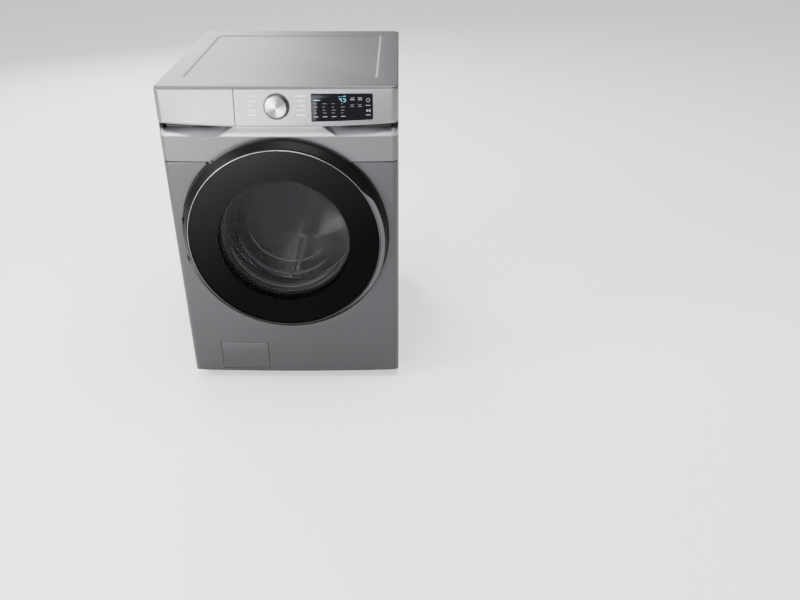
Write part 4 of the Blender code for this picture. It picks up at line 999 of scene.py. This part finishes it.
class WASHER_OT_fascia(bpy.types.Operator):
    """Drawer front and control panel with the display"""
    bl_idname = "washer.fascia"
    bl_label = "Fascia"

    def execute(self, context):
        add_piece("control_fascia", fascia_mesh("control_fascia", FASCIA_SPLIT + GAP, HALF), "cabinet",
                  "fascia_paint", ["control_panel"])
        add_piece("drawer_fascia", fascia_mesh("drawer_fascia", -HALF, FASCIA_SPLIT - GAP),
                  "detergent_drawer",
                  "fascia_paint", ["drawer_front"])
        add_piece("display_glass", self.glass(), "cabinet", "display_glass",
                  ["display_window"])
        add_piece("dial_labels", joined("dial_labels", self.dial_bars()), "cabinet",
                  "print_light")
        marks = [laid_bar(-0.265, -0.232, 0.8905, 0.0018, -0.00025),
                 laid_bar(-0.224, -0.214, 0.8905, 0.0018, -0.00025)]
        add_piece("drawer_marks", joined("drawer_marks", marks), "detergent_drawer",
                  "print_light")
        add_piece("display_bars", joined("display_bars", self.display_bars()), "cabinet",
                  "print_grey")
        add_piece("display_keys", joined("display_keys", self.key_marks()), "cabinet",
                  "print_key")
        add_piece("display_digits", joined("display_digits", self.digits()), "cabinet",
                  "lit_cyan")
        return {"FINISHED"}

    def dial_bars(self):
        """Five neutral bars on each side of the knob, in place of its programme names."""
        bars = []
        for row in range(5):
            z = 0.960 - 0.01275 * row
            left, right = 0.018 + 0.005 * math.sin(2.3 * row), 0.024 + 0.006 * math.cos(1.9 * row)
            bars.append(laid_bar(-0.077, -0.077 + left, z, 0.0022, -0.00025))
            bars.append(laid_bar(0.083 - right, 0.083, z, 0.0022, -0.00025))
        return bars

    def display_bars(self):
        """Rows of short bars under four columns, and two more columns beside the digits."""
        bars = []
        for column in range(4):
            x = 0.1055 + 0.0255 * column
            for row, z in enumerate((0.9400, 0.9310, 0.9225, 0.9150)):
                size = 0.0095 + 0.003 * math.sin(1.7 * column + 2.1 * row)
                bars.append(laid_bar(x, x + size, z, 0.0010, DISPLAY_DEPTH))
        for x in (0.2085, 0.2300):
            bars += [laid_bar(x, x + 0.011, z, 0.0010, DISPLAY_DEPTH) for z in (0.9365, 0.9320)]
        return bars

    def key_marks(self):
        """Brighter bars of the touch keys, the power ring and the start mark."""
        marks = [laid_bar(0.1055 + 0.0255 * i, 0.1190 + 0.0250 * i, 0.9045 + 0.001 * i / 3, 0.0013,
                          DISPLAY_DEPTH)
                 for i in range(4)]
        for x in (0.2085, 0.2300):
            marks += [laid_bar(x, x + 0.012, z, 0.0012, DISPLAY_DEPTH) for z in (0.9555, 0.9505)]
        marks += [laid_bar(0.2520, 0.2650, z, 0.0011, DISPLAY_DEPTH) for z in (0.9350, 0.9085)]
        marks.append(laid_ring("power", 0.2585, 0.9490, 0.0046, 0.0009, DISPLAY_DEPTH))
        marks.append(laid_plate("start", np.array([(0.2535, 0.9170), (0.2590, 0.9205), (0.2535, 0.9240)]),
                                DISPLAY_DEPTH, DISPLAY_DEPTH - 0.0002))
        marks += [laid_plate("pause", rectangle(x, x + 0.0014, 0.9170, 0.9240), DISPLAY_DEPTH,
                             DISPLAY_DEPTH - 0.0002)
                  for x in (0.2605, 0.2632)]
        return marks

    def digits(self):
        """Two leaning seven-segment digits and a short lit line at their left."""
        lit = {"4": "bcfg", "5": "acdfg"}
        ends = {"a": ((0, 2), (1, 2)), "b": ((1, 2), (1, 1)), "c": ((1, 1), (1, 0)), "d": ((0, 0), (1, 0)),
                "e": ((0, 1), (0, 0)), "f": ((0, 2), (0, 1)), "g": ((0, 1), (1, 1))}
        parts = [laid_bar(0.1060, 0.1250, 0.9490, 0.0009, DISPLAY_DEPTH)]
        for place, digit in enumerate("45"):
            for segment in lit[digit]:
                a, b = (np.array(end) * (0.0072, 0.0072) for end in ends[segment])
                run = (b - a) / np.linalg.norm(b - a)
                side = np.array([-run[1], run[0]]) * 0.00055
                a, b = a + run * 0.0008, b - run * 0.0008
                shape = np.array([a - side, b - side, b + run * 0.0006, b + side, a + side, a - run * 0.0006])
                shape[:, 0] += 0.1765 + 0.0118 * place + shape[:, 1] * 0.10
                shape[:, 1] += 0.9455
                parts.append(laid_plate("segment", shape, DISPLAY_DEPTH, DISPLAY_DEPTH - 0.0002))
        return parts

    def glass(self):
        """Rounded plate laid on the leaning face: depth changes, the outline follows the lower edge."""
        x0, x1 = 0.0985, 0.2715
        t = np.linspace(0, 1, 40)
        lower = [(x, fascia_low(x) + 0.0145, 0.0) for x in x0 + (x1 - x0) * t]
        top = FASCIA_TOP - 0.0115
        corners = [(x0, lower[0][1], 0.0025)] + lower[1:-1] + [(x1, lower[-1][1], 0.0025), (x1, top, 0.0025),
                                                                (x0, top, 0.0025)]
        shape = outline(corners, 5)
        middle = shape.mean(0)
        rows = []
        for shrink, depth in ((0.0, -0.0006), (0.0, -0.0018), (0.0003, -0.0021), (0.0008, -0.0022),
                              (0.02, -0.0022)):
            flat = middle + (shape - middle) * (1 - shrink / np.abs(shape - middle).max(0))
            rows.append(np.column_stack([flat[:, 0], face_at(flat[:, 0], flat[:, 1]) + depth, flat[:, 1]]))
        return surface("display_glass", np.array(rows), caps=True, sharp=28)


class WASHER_OT_knob(bpy.types.Operator):
    """Selector knob"""
    bl_idname = "washer.knob"
    bl_label = "Knob"

    def execute(self, context):
        place = (Matrix.Translation((KNOB_X, float(face_at(KNOB_X, KNOB_Z)), KNOB_Z))
                 @ Matrix.Rotation(math.pi / 2 - math.atan(LEAN), 4, "X"))
        cap = upright_mesh("knob_face", [(0, 0.0184), (0.0296, 0.0184, 0.0010), (0.0309, 0.0168, 0.0006),
                                         (0.0313, 0.0100), (0.0300, 0.0100), (0, 0.0100)], (0, 0), 128, 4)
        skirt = upright_mesh("knob_skirt", [(0, 0.0098), (0.0300, 0.0098), (0.0316, 0.0096, 0.0004),
                                            (0.0321, 0.0058, 0.001),
                                            (0.0362, 0.0046, 0.0008), (0.0367, 0.0013, 0.0004),
                                            (0.0045, 0.0013),
                                            (0.0040, -0.0098), (0, -0.0098)], (0, 0), 128, 4)
        add_piece("knob_face", turned_to(cap, place), "knob", "turned_face",
                  ["selector_knob"])
        add_piece("knob_skirt", turned_to(skirt, place), "knob", "dark_plastic")
        return {"FINISHED"}


class WASHER_OT_door(bpy.types.Operator):
    """Door: bezel, trim, glass, bowl and grip"""
    bl_idname = "washer.door"
    bl_label = "Door"

    def execute(self, context):
        add_piece("door_outer_ring", self.bezel(context.scene.washer.ring_steps), "door",
                  "bezel_black", ["door_bezel"])
        y = FRONT - 0.0505
        trim = spun_mesh("door_trim", [(0.2862, y, 0.0004), (0.2889, y, 0.0006), (0.2884, y - 0.0022, 0.0009),
                                       (0.2867, y - 0.0022, 0.0007)], count=256)
        add_piece("door_trim", trim, "door", "trim_metal", ["door_trim_ring"])
        add_piece("door_glass", self.glass(), "door", "smoked_glass", ["door_window"])
        add_piece("door_grip", self.grip(), "door", "platinum_paint", ["door_handle"])
        add_piece("glass_bowl", self.bowl(), "door", "clear_glass", ["door_bowl"])
        return {"FINISHED"}

    def bezel(self, count):
        """Tapered ring; its outer wall is drawn inward behind the grip by a smooth step in the angle."""
        edge, front, flange = FRONT - 0.0277, FRONT - 0.0500, FRONT - 0.0350
        profile = outline([(DOOR_R - 0.0004, edge, 0.0005), (DOOR_R, edge - 0.003, 0.003),
                           (0.2912, front, 0.0022),
                           (0.2872, front, 0.0006), (0.2872, flange), (0.2050, flange),
                           (0.2050, flange + 0.003),
                           (0.3030, flange + 0.003), (0.3062, edge)], 6)
        dense = []
        for a, b in zip(profile, np.roll(profile, -1, 0)):
            steps = 12 if a[0] > 0.288 and b[1] < a[1] - 0.01 else 2
            dense.append(a + (b - a) * np.linspace(0, 1, steps)[:-1, None])
        profile = np.concatenate(dense)
        grid = spun(profile, count=count)
        angle = (np.arange(count)[:, None] / count * 360 + 180) % 360 - 180
        near = smooth(angle, -56, -30) * (1 - smooth(angle, 29, 34))
        y = profile[:, 1][None]
        level = smooth(y, front + 0.0030, front + 0.0050) * (1 - smooth(y, flange - 0.0030, flange - 0.0010))
        outer = profile[:, 0][None] > 0.2890
        radius = np.where(outer, profile[:, 0][None] - (profile[:, 0][None] - 0.2912) * near * level,
                          profile[:, 0][None])
        a = np.radians(angle)
        grid = np.stack([radius * np.cos(a), y + 0 * a, DOOR_Z + radius * np.sin(a)], -1)
        mesh = surface("door_outer_ring", grid, wrap_rows=True)
        pocket = prism_mesh("pocket", [(-0.330, DOOR_Z - 0.078), (-0.2600, DOOR_Z - 0.078),
                                       (-0.2600, DOOR_Z + 0.078),
                                       (-0.330, DOOR_Z + 0.078)], FRONT - 0.0385, FRONT + 0.01)
        return cut_out(mesh, [pocket])

    def glass(self):
        """Dome: y falls from the edge to the apex with the square of the radius."""
        apex, edge = -REAR + 0.0001, FRONT - 0.0490
        r = np.linspace(0, 1, 48)
        outer = np.stack([GLASS_R * r, apex + (edge - apex) * r ** 2], -1)
        rim = np.array([[GLASS_R, edge + 0.0034], [GLASS_R - 0.0006, edge + 0.0040]])
        inner = np.stack([(GLASS_R - 0.001) * r[::-1], apex + 0.0040 + (edge - apex) * r[::-1] ** 2], -1)
        return surface("door_glass", spun(np.concatenate([outer, rim, inner])), wrap_rows=True,
                       wrap_columns=False)

    def grip(self):
        """Crescent lip: its width grows slowly from the lower end and stops short at the upper end."""
        share = np.linspace(0, 1, 140)
        a = np.radians(-58 + 93 * share)
        width = 0.0006 + 0.0122 * smooth(share, 0.0, 0.42) * (1 - smooth(share, 0.90, 1.0))
        inner, near, far = 0.2904, FRONT - 0.0505, FRONT - 0.0540
        across = outline([(0, 0, 0.0), (1, 0, 0.1), (1, 1, 0.25), (0, 1, 0.08)], 5)
        radius = inner + width[:, None] * across[:, 0][None]
        y = near + (far - near) * across[:, 1][None] + 0 * radius
        a = a[:, None]
        return surface("door_grip", np.stack([radius * np.cos(a), y, DOOR_Z + radius * np.sin(a)], -1),
                       caps=True)

    def bowl(self):
        """Pressed bowl with a rolled flange, tapered wall and rounded bottom."""
        base = FRONT - 0.0205
        return spun_mesh("glass_bowl", [(0, -0.2452), (0.100, -0.2472, 0.06), (0.1455, -0.2530, 0.014),
                                        (0.1780, -0.3400, 0.03), (0.1835, base - 0.0003, 0.006),
                                        (0.1958, base, 0.001),
                                        (0.1958, base - 0.0038, 0.001), (0.1815, base - 0.0038, 0.006),
                                        (0.1728, -0.3385, 0.03), (0.1425, -0.2578, 0.012),
                                        (0.0985, -0.2520, 0.06),
                                        (0, -0.2500)], steps=10, count=160)


class WASHER_OT_drum(bpy.types.Operator):
    """Perforated drum with its lifters"""
    bl_idname = "washer.drum"
    bl_label = "Drum"

    def execute(self, context):
        add_piece("drum_skin", self.skin(context.scene.washer.hole_pitch), "drum", "stainless",
                  ["drum_shell"])
        for i in range(3):
            name = "paddle_%d" % (i + 1)
            turn = Matrix.Translation((0, 0, DOOR_Z)) @ Matrix.Rotation(math.tau * i / 3, 4, "Y")
            add_piece(name, turned_to(self.paddle(name), turn), "drum", "white_plastic",
                      ["drum_lifter_%d" % (i + 1)])
        return {"FINISHED"}

    def skin(self, pitch):
        """Profile spun round Y; u counts holes round the wall and v counts rows along it."""
        r, t, f, b = DRUM_R, 0.0012, -0.248, 0.208
        rows = round((b - f) / pitch)
        inner = [(0.203 + t, f + 0.016), (0.203 + t, f + 0.0032), (0.215, f + t), (r - t, f + 0.006 + t)]
        corners = ([(0, b - 0.006), (0.060, b - 0.006, 0.01), (0.110, b, 0.02), (r, b, 0.006),
                    (r, f + 0.006, 0.006), (0.215, f, 0.004), (0.203, f + 0.002, 0.001), (0.203, f + 0.016)]
                   + inner + [(r - t, b - t, 0.005), (0.110, b - t, 0.02), (0.060, b - 0.006 - t, 0.01),
                              (0, b - 0.006 - t)])
        profile = outline(corners, 6, False)
        angle = np.linspace(0, math.tau, 181)[:, None]
        radius, y = profile[:, 0][None], profile[:, 1][None]
        grid = np.stack([radius * np.cos(angle), y + 0 * angle, DOOR_Z + radius * np.sin(angle)], -1)
        around = round(math.tau * r / pitch) * angle / math.tau
        along = np.where(radius > r - 0.004, (y - f) / (b - f) * rows, np.where(y > 0, rows, 0))
        uv = np.stack([around + 0 * along, along + 0 * around], -1)
        return surface("drum_skin", grid, wrap_columns=False, uv=uv)

    def paddle(self, name):
        """Ridge along Y whose height rises and falls smoothly at its ends."""
        share = np.linspace(0, 1, 48)
        size = 0.30 + 0.70 * smooth(share, 0.0, 0.16) * (1 - smooth(share, 0.84, 1.0))
        wall = DRUM_R - 0.0022
        half = 0.0320
        base = -math.sqrt(wall ** 2 - half ** 2)
        rows = []
        for t, grow in zip(share, size):
            low, high = base + 0.026 * grow, -wall + 0.004 + 0.042 * grow
            shape = outline([(-half, base), (-0.014, low, 0.010), (-0.0075, high, 0.006),
                             (0.0075, high, 0.006),
                             (0.014, low, 0.010), (half, base)], 5)
            rows.append(np.column_stack([shape[:, 0], np.full(len(shape), -0.215 + 0.400 * t), shape[:, 1]]))
        return surface(name, np.array(rows), caps=True)


class WASHER_OT_tub(bpy.types.Operator):
    """Ribbed tub, counterweights, bellows, springs and hoses"""
    bl_idname = "washer.tub"
    bl_label = "Tub"

    def execute(self, context):
        add_piece("tub_front", self.front(), "tub", "grey_plastic", ["tub_front_half"])
        add_piece("tub_rear", self.rear(), "tub", "grey_plastic", ["tub_rear_half"])
        add_piece("tub_ribs", joined("tub_ribs", self.spokes()), "tub", "grey_plastic")
        for name, node in (("weight_top", "counterweight_top"), ("weight_bottom", "counterweight_bottom")):
            add_piece(name, self.weight(name, node), "tub", "concrete", [node])
        clamp = tube_mesh("bellows_clamp", self.circle(0.2072, -0.2685), 0.0022)
        add_piece("bellows_clamp", clamp, "tub", "plain_steel")
        self.bending("bellows", self.bellows(), "grey_rubber", (0, FRONT + 0.022, DOOR_Z),
                     (0, FRONT + 0.060, DOOR_Z), "door_gasket")
        for name, x in (("left", -0.270), ("right", 0.270)):
            self.bending("coil_" + name, self.coil("coil_" + name, x), "spring_steel", (x, -0.022, 0.9195),
                         (x, -0.022, 0.7035), "tub_spring_" + name)
        sump = [(-0.0605, -0.200, 0.2372), (-0.070, -0.203, 0.205), (-0.115, -0.215, 0.172),
                (-0.157, -0.236, 0.158), (FILTER_X, -0.240, 0.145), (FILTER_X, -0.240, 0.1278)]
        self.bending("sump_bellows", self.ribbed("sump_bellows", sump, 0.0157, 26), "black_rubber",
                     sump[-1], sump[0],
                     "sump_hose")
        fill = [(-0.236, -0.090, 0.8790), (-0.232, -0.090, 0.858), (-0.195, -0.090, 0.838),
                (-0.162, -0.090, 0.8135), (-0.1512, -0.090, 0.7949)]
        self.bending("fill_bellows", self.ribbed("fill_bellows", fill, 0.0107, 18), "black_rubber", fill[0],
                     fill[-1],
                     "dispenser_hose")
        return {"FINISHED"}

    def bending(self, name, mesh, slot, start, end, node):
        """A piece linked in place with its finish, standing in for its CAD node, which is hidden."""
        mesh.name = name
        mesh.materials.append(material(slot))
        made = bpy.data.objects.new(name, mesh)
        bpy.context.scene.collection.objects.link(made)
        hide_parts(node)
        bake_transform(made)

    def circle(self, radius, y, count=121):
        """Closed ring of points round the door's axis."""
        angle = np.linspace(0, math.tau, count)
        return np.stack([radius * np.cos(angle), np.full(count, y), DOOR_Z + radius * np.sin(angle)], -1)

    def front(self):
        """Tub half with three round ribs on its wall."""
        f, seam, wall = -0.262, -0.020, 0.003
        ribs = []
        for y in (-0.075, -0.135, -0.195):
            ribs += [(TUB_R, y + 0.002, 0.0008), (0.3050, y + 0.0012, 0.0008), (0.3050, y - 0.0012, 0.0008),
                     (TUB_R, y - 0.002, 0.0008)]
        return spun_mesh("tub_front", [(0.205, f), (TUB_R, f, 0.012)] + ribs[::-1]
                         + [(TUB_R, seam - 0.004, 0.001), (0.309, seam - 0.004, 0.001),
                            (0.309, seam - 0.0003),
                            (TUB_R - wall, seam - 0.0003), (TUB_R - wall, f + wall, 0.010),
                            (0.205, f + wall)],
                         count=144)

    def rear(self):
        """Tub half with round ribs and the bearing housing."""
        seam, rear, wall = -0.020, 0.235, 0.003
        inside = rear - 0.006
        ribs = []
        for y in (0.045, 0.105, 0.165):
            ribs += [(TUB_R, y - 0.002, 0.0008), (0.3050, y - 0.0012, 0.0008), (0.3050, y + 0.0012, 0.0008),
                     (TUB_R, y + 0.002, 0.0008)]
        return spun_mesh("tub_rear", [(TUB_R - wall, seam + 0.0003), (0.309, seam + 0.0003),
                                      (0.309, seam + 0.004, 0.001),
                                      (TUB_R, seam + 0.004, 0.001)] + ribs
                         + [(TUB_R, rear, 0.012), (0.055, rear, 0.004), (0.042, 0.285, 0.002),
                            (SHAFT_R + 0.0006, 0.285),
                            (SHAFT_R + 0.0006, inside), (TUB_R - wall, inside, 0.008)], count=144)

    def spokes(self):
        """Twelve flat ribs from the bearing housing to the rim of the rear wall."""
        ribs = []
        for i in range(12):
            rib = block_mesh("rib", (0.050, 0.2345, -0.0015), (0.285, 0.2450, 0.0015), 0.0005, "Y", 0.0004)
            turn = Matrix.Translation((0, 0, DOOR_Z)) @ Matrix.Rotation(math.tau * (i + 0.5) / 12, 4, "Y")
            ribs.append(turned_to(rib, turn))
        return ribs

    def weight(self, name, node):
        """Crescent of a soft-edged section carried round the tub's mouth between its node's ends."""
        low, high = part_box(node)
        edge = min(abs(low.z - DOOR_Z), abs(high.z - DOOR_Z))
        start = math.asin(edge / 0.222)
        up = high.z > DOOR_Z + 0.1
        angle = np.linspace(start, math.pi - start, 72) * (1 if up else -1)
        shape = outline([(0.222, -0.2625, 0.003), (0.288, -0.2625, 0.003), (0.288, -0.308, 0.006),
                         (0.222, -0.308, 0.006)], 5)
        radius, y = shape[:, 0][None], shape[:, 1][None]
        a = angle[:, None]
        return surface(name, np.stack([radius * np.cos(a), y + 0 * a, DOOR_Z + radius * np.sin(a)], -1),
                       caps=True)

    def bellows(self):
        """Rubber profile with one deep fold, spun round the door's axis."""
        f, t = FRONT, 0.0025
        return spun_mesh("bellows", [
            (0.1900, f + 0.006, 0.001), (0.2000, f - 0.001, 0.002), (0.2142, f - 0.0010, 0.001),
            (0.2142, f + 0.022, 0.003), (0.2100, f + 0.030, 0.004), (0.2120, f + 0.050, 0.004),
            (0.2040, f + 0.060, 0.003), (0.2040, f + 0.080, 0.001), (0.2040 - t, f + 0.080, 0.001),
            (0.2040 - t, f + 0.058, 0.003), (0.2085, f + 0.0485, 0.004), (0.2070, f + 0.030, 0.004),
            (0.2112, f + 0.020, 0.003), (0.2112, f + 0.0015, 0.001), (0.2010, f + 0.0015, 0.001),
            (0.1905, f + 0.0085, 0.001)], count=160)

    def coil(self, name, x):
        """Helix of round wire: x = r cos a, y = r sin a, z falls evenly with a."""
        turns = 14
        share = np.linspace(0, 1, turns * 20 + 1)
        angle = share * turns * math.tau
        path = np.stack([x + 0.010 * np.cos(angle), -0.022 + 0.010 * np.sin(angle),
                         0.7035 + 0.216 * share], -1)
        return tube_mesh(name, path, 0.0014, sides=10)

    def ribbed(self, name, points, radius, ribs):
        """Corrugated hose: its radius swings with a cosine along its path."""
        path = curve_through(points, ribs * 8)
        share = np.linspace(0, 1, len(path))
        swell = radius - 0.0007 + 0.0007 * np.cos(share * ribs * math.tau)
        return tube_mesh(name, path, swell, swell - 0.0016, sides=28)


class WASHER_OT_fittings(bpy.types.Operator):
    """Screws, bolts, caps, cables and inner hoses"""
    bl_idname = "washer.fittings"
    bl_label = "Fittings"

    def execute(self, context):
        rear = REAR - 0.0018
        around = [(0.1880 * math.cos(a), 0.50 + 0.1880 * math.sin(a)) for a in np.arange(8) * math.tau / 8]
        edges = [(x, z) for x in (-0.331, 0.331) for z in (0.10, 0.30, 0.50, 0.70, 0.88)]
        self.screws("rear_screws", edges, rear, 0.0045, 0.0014, 1, "cabinet")
        self.screws("cover_screws", around, REAR - 0.0014, 0.0042, 0.0013, 1, "cabinet")
        self.screws("transit_caps", [(x, z) for x in (-0.262, 0.262) for z in (0.300, 0.700)], rear, 0.0150,
                    0.0016,
                    1, "cabinet", "grey_plastic")
        bolts = [(0.255 * math.cos(a), DOOR_Z + 0.255 * math.sin(a)) for a in
                 np.radians([50, 90, 130, 230, 270, 310])]
        self.screws("weight_bolts", bolts, -0.308, 0.0075, 0.0045, -1, "tub")
        seam = [(0.3046 * math.cos(a),
                 DOOR_Z + 0.3046 * math.sin(a)) for a in np.arange(20) * math.tau / 20 + 0.1]
        self.screws("seam_screws", seam, -0.0240, 0.0036, 0.0030, -1, "tub")
        self.screws("bracket_screws", [(-0.2705, DOOR_Z + z) for z in (-0.045, 0.045)], RECESS_Y - 0.0028,
                    0.0035,
                    0.0014, -1, "cabinet")
        motor = [(0.075 + 0.054 * math.cos(a),
                  0.155 + 0.054 * math.sin(a)) for a in np.arange(4) * math.tau / 4 + 0.785]
        self.screws("motor_bolts", motor, 0.050, 0.0050, 0.0040, -1, "tub")
        self.cable("lock_cable", [(0.250, -0.3140, 0.900), (0.300, -0.3105, 0.800), (0.296, -0.3105, 0.650),
                                  (0.264, -0.3080, 0.575)], 0.0028)
        self.cable("valve_cable", [(0.300, -0.3140, 0.930), (0.325, -0.250, 0.930), (0.328, 0.0, 0.935),
                                   (0.300, 0.280, 0.932), (0.270, 0.330, 0.9215)], 0.0028)
        self.cable("pump_cable", [(0.290, -0.3140, 0.905), (0.322, -0.270, 0.880), (0.325, -0.200, 0.700),
                                  (0.325, -0.180, 0.300), (0.322, -0.180, 0.120), (0.290, -0.180, 0.066),
                                  (0.0, -0.180, 0.062), (-0.150, -0.170, 0.066)], 0.0026)
        self.cable("water_hose", [(0.215, 0.3240, 0.905), (0.190, 0.270, 0.906), (0.0, 0.100, 0.908),
                                  (-0.140, 0.010, 0.908), (-0.185, -0.030, 0.910),
                                  (-0.190, -0.0495, 0.912)], 0.0070,
                   "black_rubber")
        return {"FINISHED"}

    def screws(self, name, places, y, radius, height, out, body, finish="plain_steel"):
        """Low domed heads with a round dimple, all facing along Y."""
        heads = []
        for x, z in places:
            near, far = y, y + out * height
            heads.append(spun_mesh("head", [(0, near - out * 0.0002), (radius, near - out * 0.0002),
                                            (radius, y + out * height * 0.35, radius * 0.1),
                                            (radius * 0.72, far, radius * 0.3), (radius * 0.34, far),
                                            (radius * 0.26, y + out * height * 0.45),
                                            (0, y + out * height * 0.40)],
                                   (x, z), 24, 3))
        add_piece(name, joined(name, heads), body, finish)

    def cable(self, name, points, radius, finish="dark_plastic"):
        """Round lead along a smooth path."""
        add_piece(name, tube_mesh(name, curve_through(points, 90), radius, sides=14), "cabinet",
                  finish)


class WASHER_OT_feet(bpy.types.Operator):
    """Levelling feet with threaded stems"""
    bl_idname = "washer.feet"
    bl_label = "Feet"

    def execute(self, context):
        for place in ("front_left", "front_right", "rear_left", "rear_right"):
            low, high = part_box("foot_" + place)
            centre = ((low.x + high.x) / 2, (low.y + high.y) / 2)
            sole = upright_mesh("sole", [(0, 0), (0.0205, 0, 0.001), (0.0225, 0.0022, 0.002),
                                         (0.0225, 0.0080, 0.003),
                                         (0.0190, 0.0110, 0.002), (0.0105, 0.0120), (0, 0.0120)], centre,
                                64, 4)
            angle = np.arange(6) * math.tau / 6
            nut = prism_mesh("nut", np.stack([centre[0] + 0.0108 * np.cos(angle),
                                              centre[1] + 0.0108 * np.sin(angle)], -1),
                             0.0125, 0.0215, "Z", 0.0006)
            thread = [(0, 0.0118)]
            for i in range(24):
                thread += [(0.0050, 0.0120 + 0.002 * i), (0.0060, 0.0130 + 0.002 * i)]
            stem = upright_mesh("stem", thread + [(0.0050, 0.0610), (0, 0.0620)], centre, 32, 2)
            add_piece("sole_" + place, sole, "foot_%s_body" % place, "black_rubber",
                      ["foot_" + place])
            add_piece("stem_" + place, joined("stem", [nut, stem]), "foot_%s_body" % place,
                      "plain_steel")
        return {"FINISHED"}


class WASHER_OT_stage(bpy.types.Operator):
    """Floor, lights and camera"""
    bl_idname = "washer.stage"
    bl_label = "Stage"

    def execute(self, context):
        sizes = context.scene.washer
        ground = bpy.data.meshes.new("floor")
        reach = 14.0
        ground.from_pydata([(-reach, -reach, 0), (reach, -reach, 0), (reach, reach, 0), (-reach, reach, 0)],
                           [], [(0, 1, 2, 3)])
        colour = tuple(sizes.floor_colour)
        shade = Shade("floor", colour, 0.85, **{"Emission Color": (1.0, 1.0, 1.0, 1.0),
                                                "Emission Strength": 0.42})
        shade.feed("Base Color", shade.mix(shade.noise(1.4, detail=4.0), tuple(c * 0.985 for c in colour),
                                           colour))
        ground.materials.append(shade.material)
        floor = bpy.data.objects.new("floor", ground)
        context.scene.collection.objects.link(floor)
        self.light("key", (-3.0, -1.6, 2.4), (0.0, -0.3, 0.6), 1.8, sizes.key_power)
        self.light("front_left", (-2.3, -4.6, 1.0), (0.0, -0.3, 0.8), 2.4, sizes.key_power * 1.6)
        self.light("front_strip", (-0.75, -5.0, 1.6), (0.0, -0.3, 0.9), 1.1, sizes.key_power * 0.5)
        self.light("back_left", (-1.7, 3.4, 2.5), (0.0, 0.0, 0.9), 2.8, sizes.key_power * 1.1)
        self.light("overhead", (0.6, -0.4, 4.6), (0.6, -0.4, 0.0), 3.2, sizes.key_power * 1.7)
        self.light("drum_glow", (-0.06, -0.12, DOOR_Z + 0.17), (0.02, 0.0, 0.0), 0.10,
                   sizes.key_power * 0.0022)
        world = bpy.data.worlds.new("studio")
        world.use_nodes = True
        world.node_tree.nodes["Background"].inputs["Color"].default_value = (0.92, 0.95, 1.0, 1.0)
        world.node_tree.nodes["Background"].inputs["Strength"].default_value = 0.50
        context.scene.world = world
        data = bpy.data.cameras.new("view")
        data.sensor_width = 36.0
        data.lens = CAMERA_LENS
        camera = bpy.data.objects.new("view", data)
        camera.location = CAMERA_PLACE
        camera.rotation_euler = (math.radians(90 - CAMERA_DIP), 0, 0)
        context.scene.collection.objects.link(camera)
        context.scene.camera = camera
        return {"FINISHED"}

    def light(self, name, place, target, size, power):
        """One round area lamp, turned to its target."""
        data = bpy.data.lights.new(name, "AREA")
        data.shape = "DISK"
        data.size = size
        data.energy = power
        lamp = bpy.data.objects.new(name, data)
        lamp.location = place
        lamp.rotation_euler = (Vector(target) - Vector(place)).to_track_quat("-Z", "Y").to_euler()
        bpy.context.scene.collection.objects.link(lamp)


OPERATORS = (WASHER_OT_cabinet, WASHER_OT_front, WASHER_OT_fascia, WASHER_OT_knob, WASHER_OT_door,
             WASHER_OT_drum, WASHER_OT_tub, WASHER_OT_fittings, WASHER_OT_feet, WASHER_OT_stage)


class WASHER_PT_panel(bpy.types.Panel):
    """Lists the machine's settings and its building steps"""
    bl_idname = "WASHER_PT_panel"
    bl_label = "Washing Machine"
    bl_space_type = "VIEW_3D"
    bl_region_type = "UI"
    bl_category = "Washer"

    def draw(self, context):
        column = self.layout.column()
        for name in WASHER_PG_sizes.__annotations__:
            column.prop(context.scene.washer, name)
        for operator in OPERATORS:
            column.operator(operator.bl_idname)


CLASSES = (WASHER_PG_sizes,) + OPERATORS + (WASHER_PT_panel,)


def register():
    for item in CLASSES:
        bpy.utils.register_class(item)
    bpy.types.Scene.washer = PointerProperty(type=WASHER_PG_sizes)


def unregister():
    del bpy.types.Scene.washer
    for item in reversed(CLASSES):
        bpy.utils.unregister_class(item)


def main():
    register()
    for operator in OPERATORS:
        group, step = operator.bl_idname.split(".")
        getattr(getattr(bpy.ops, group), step)()


if __name__ == "__main__":
    main()
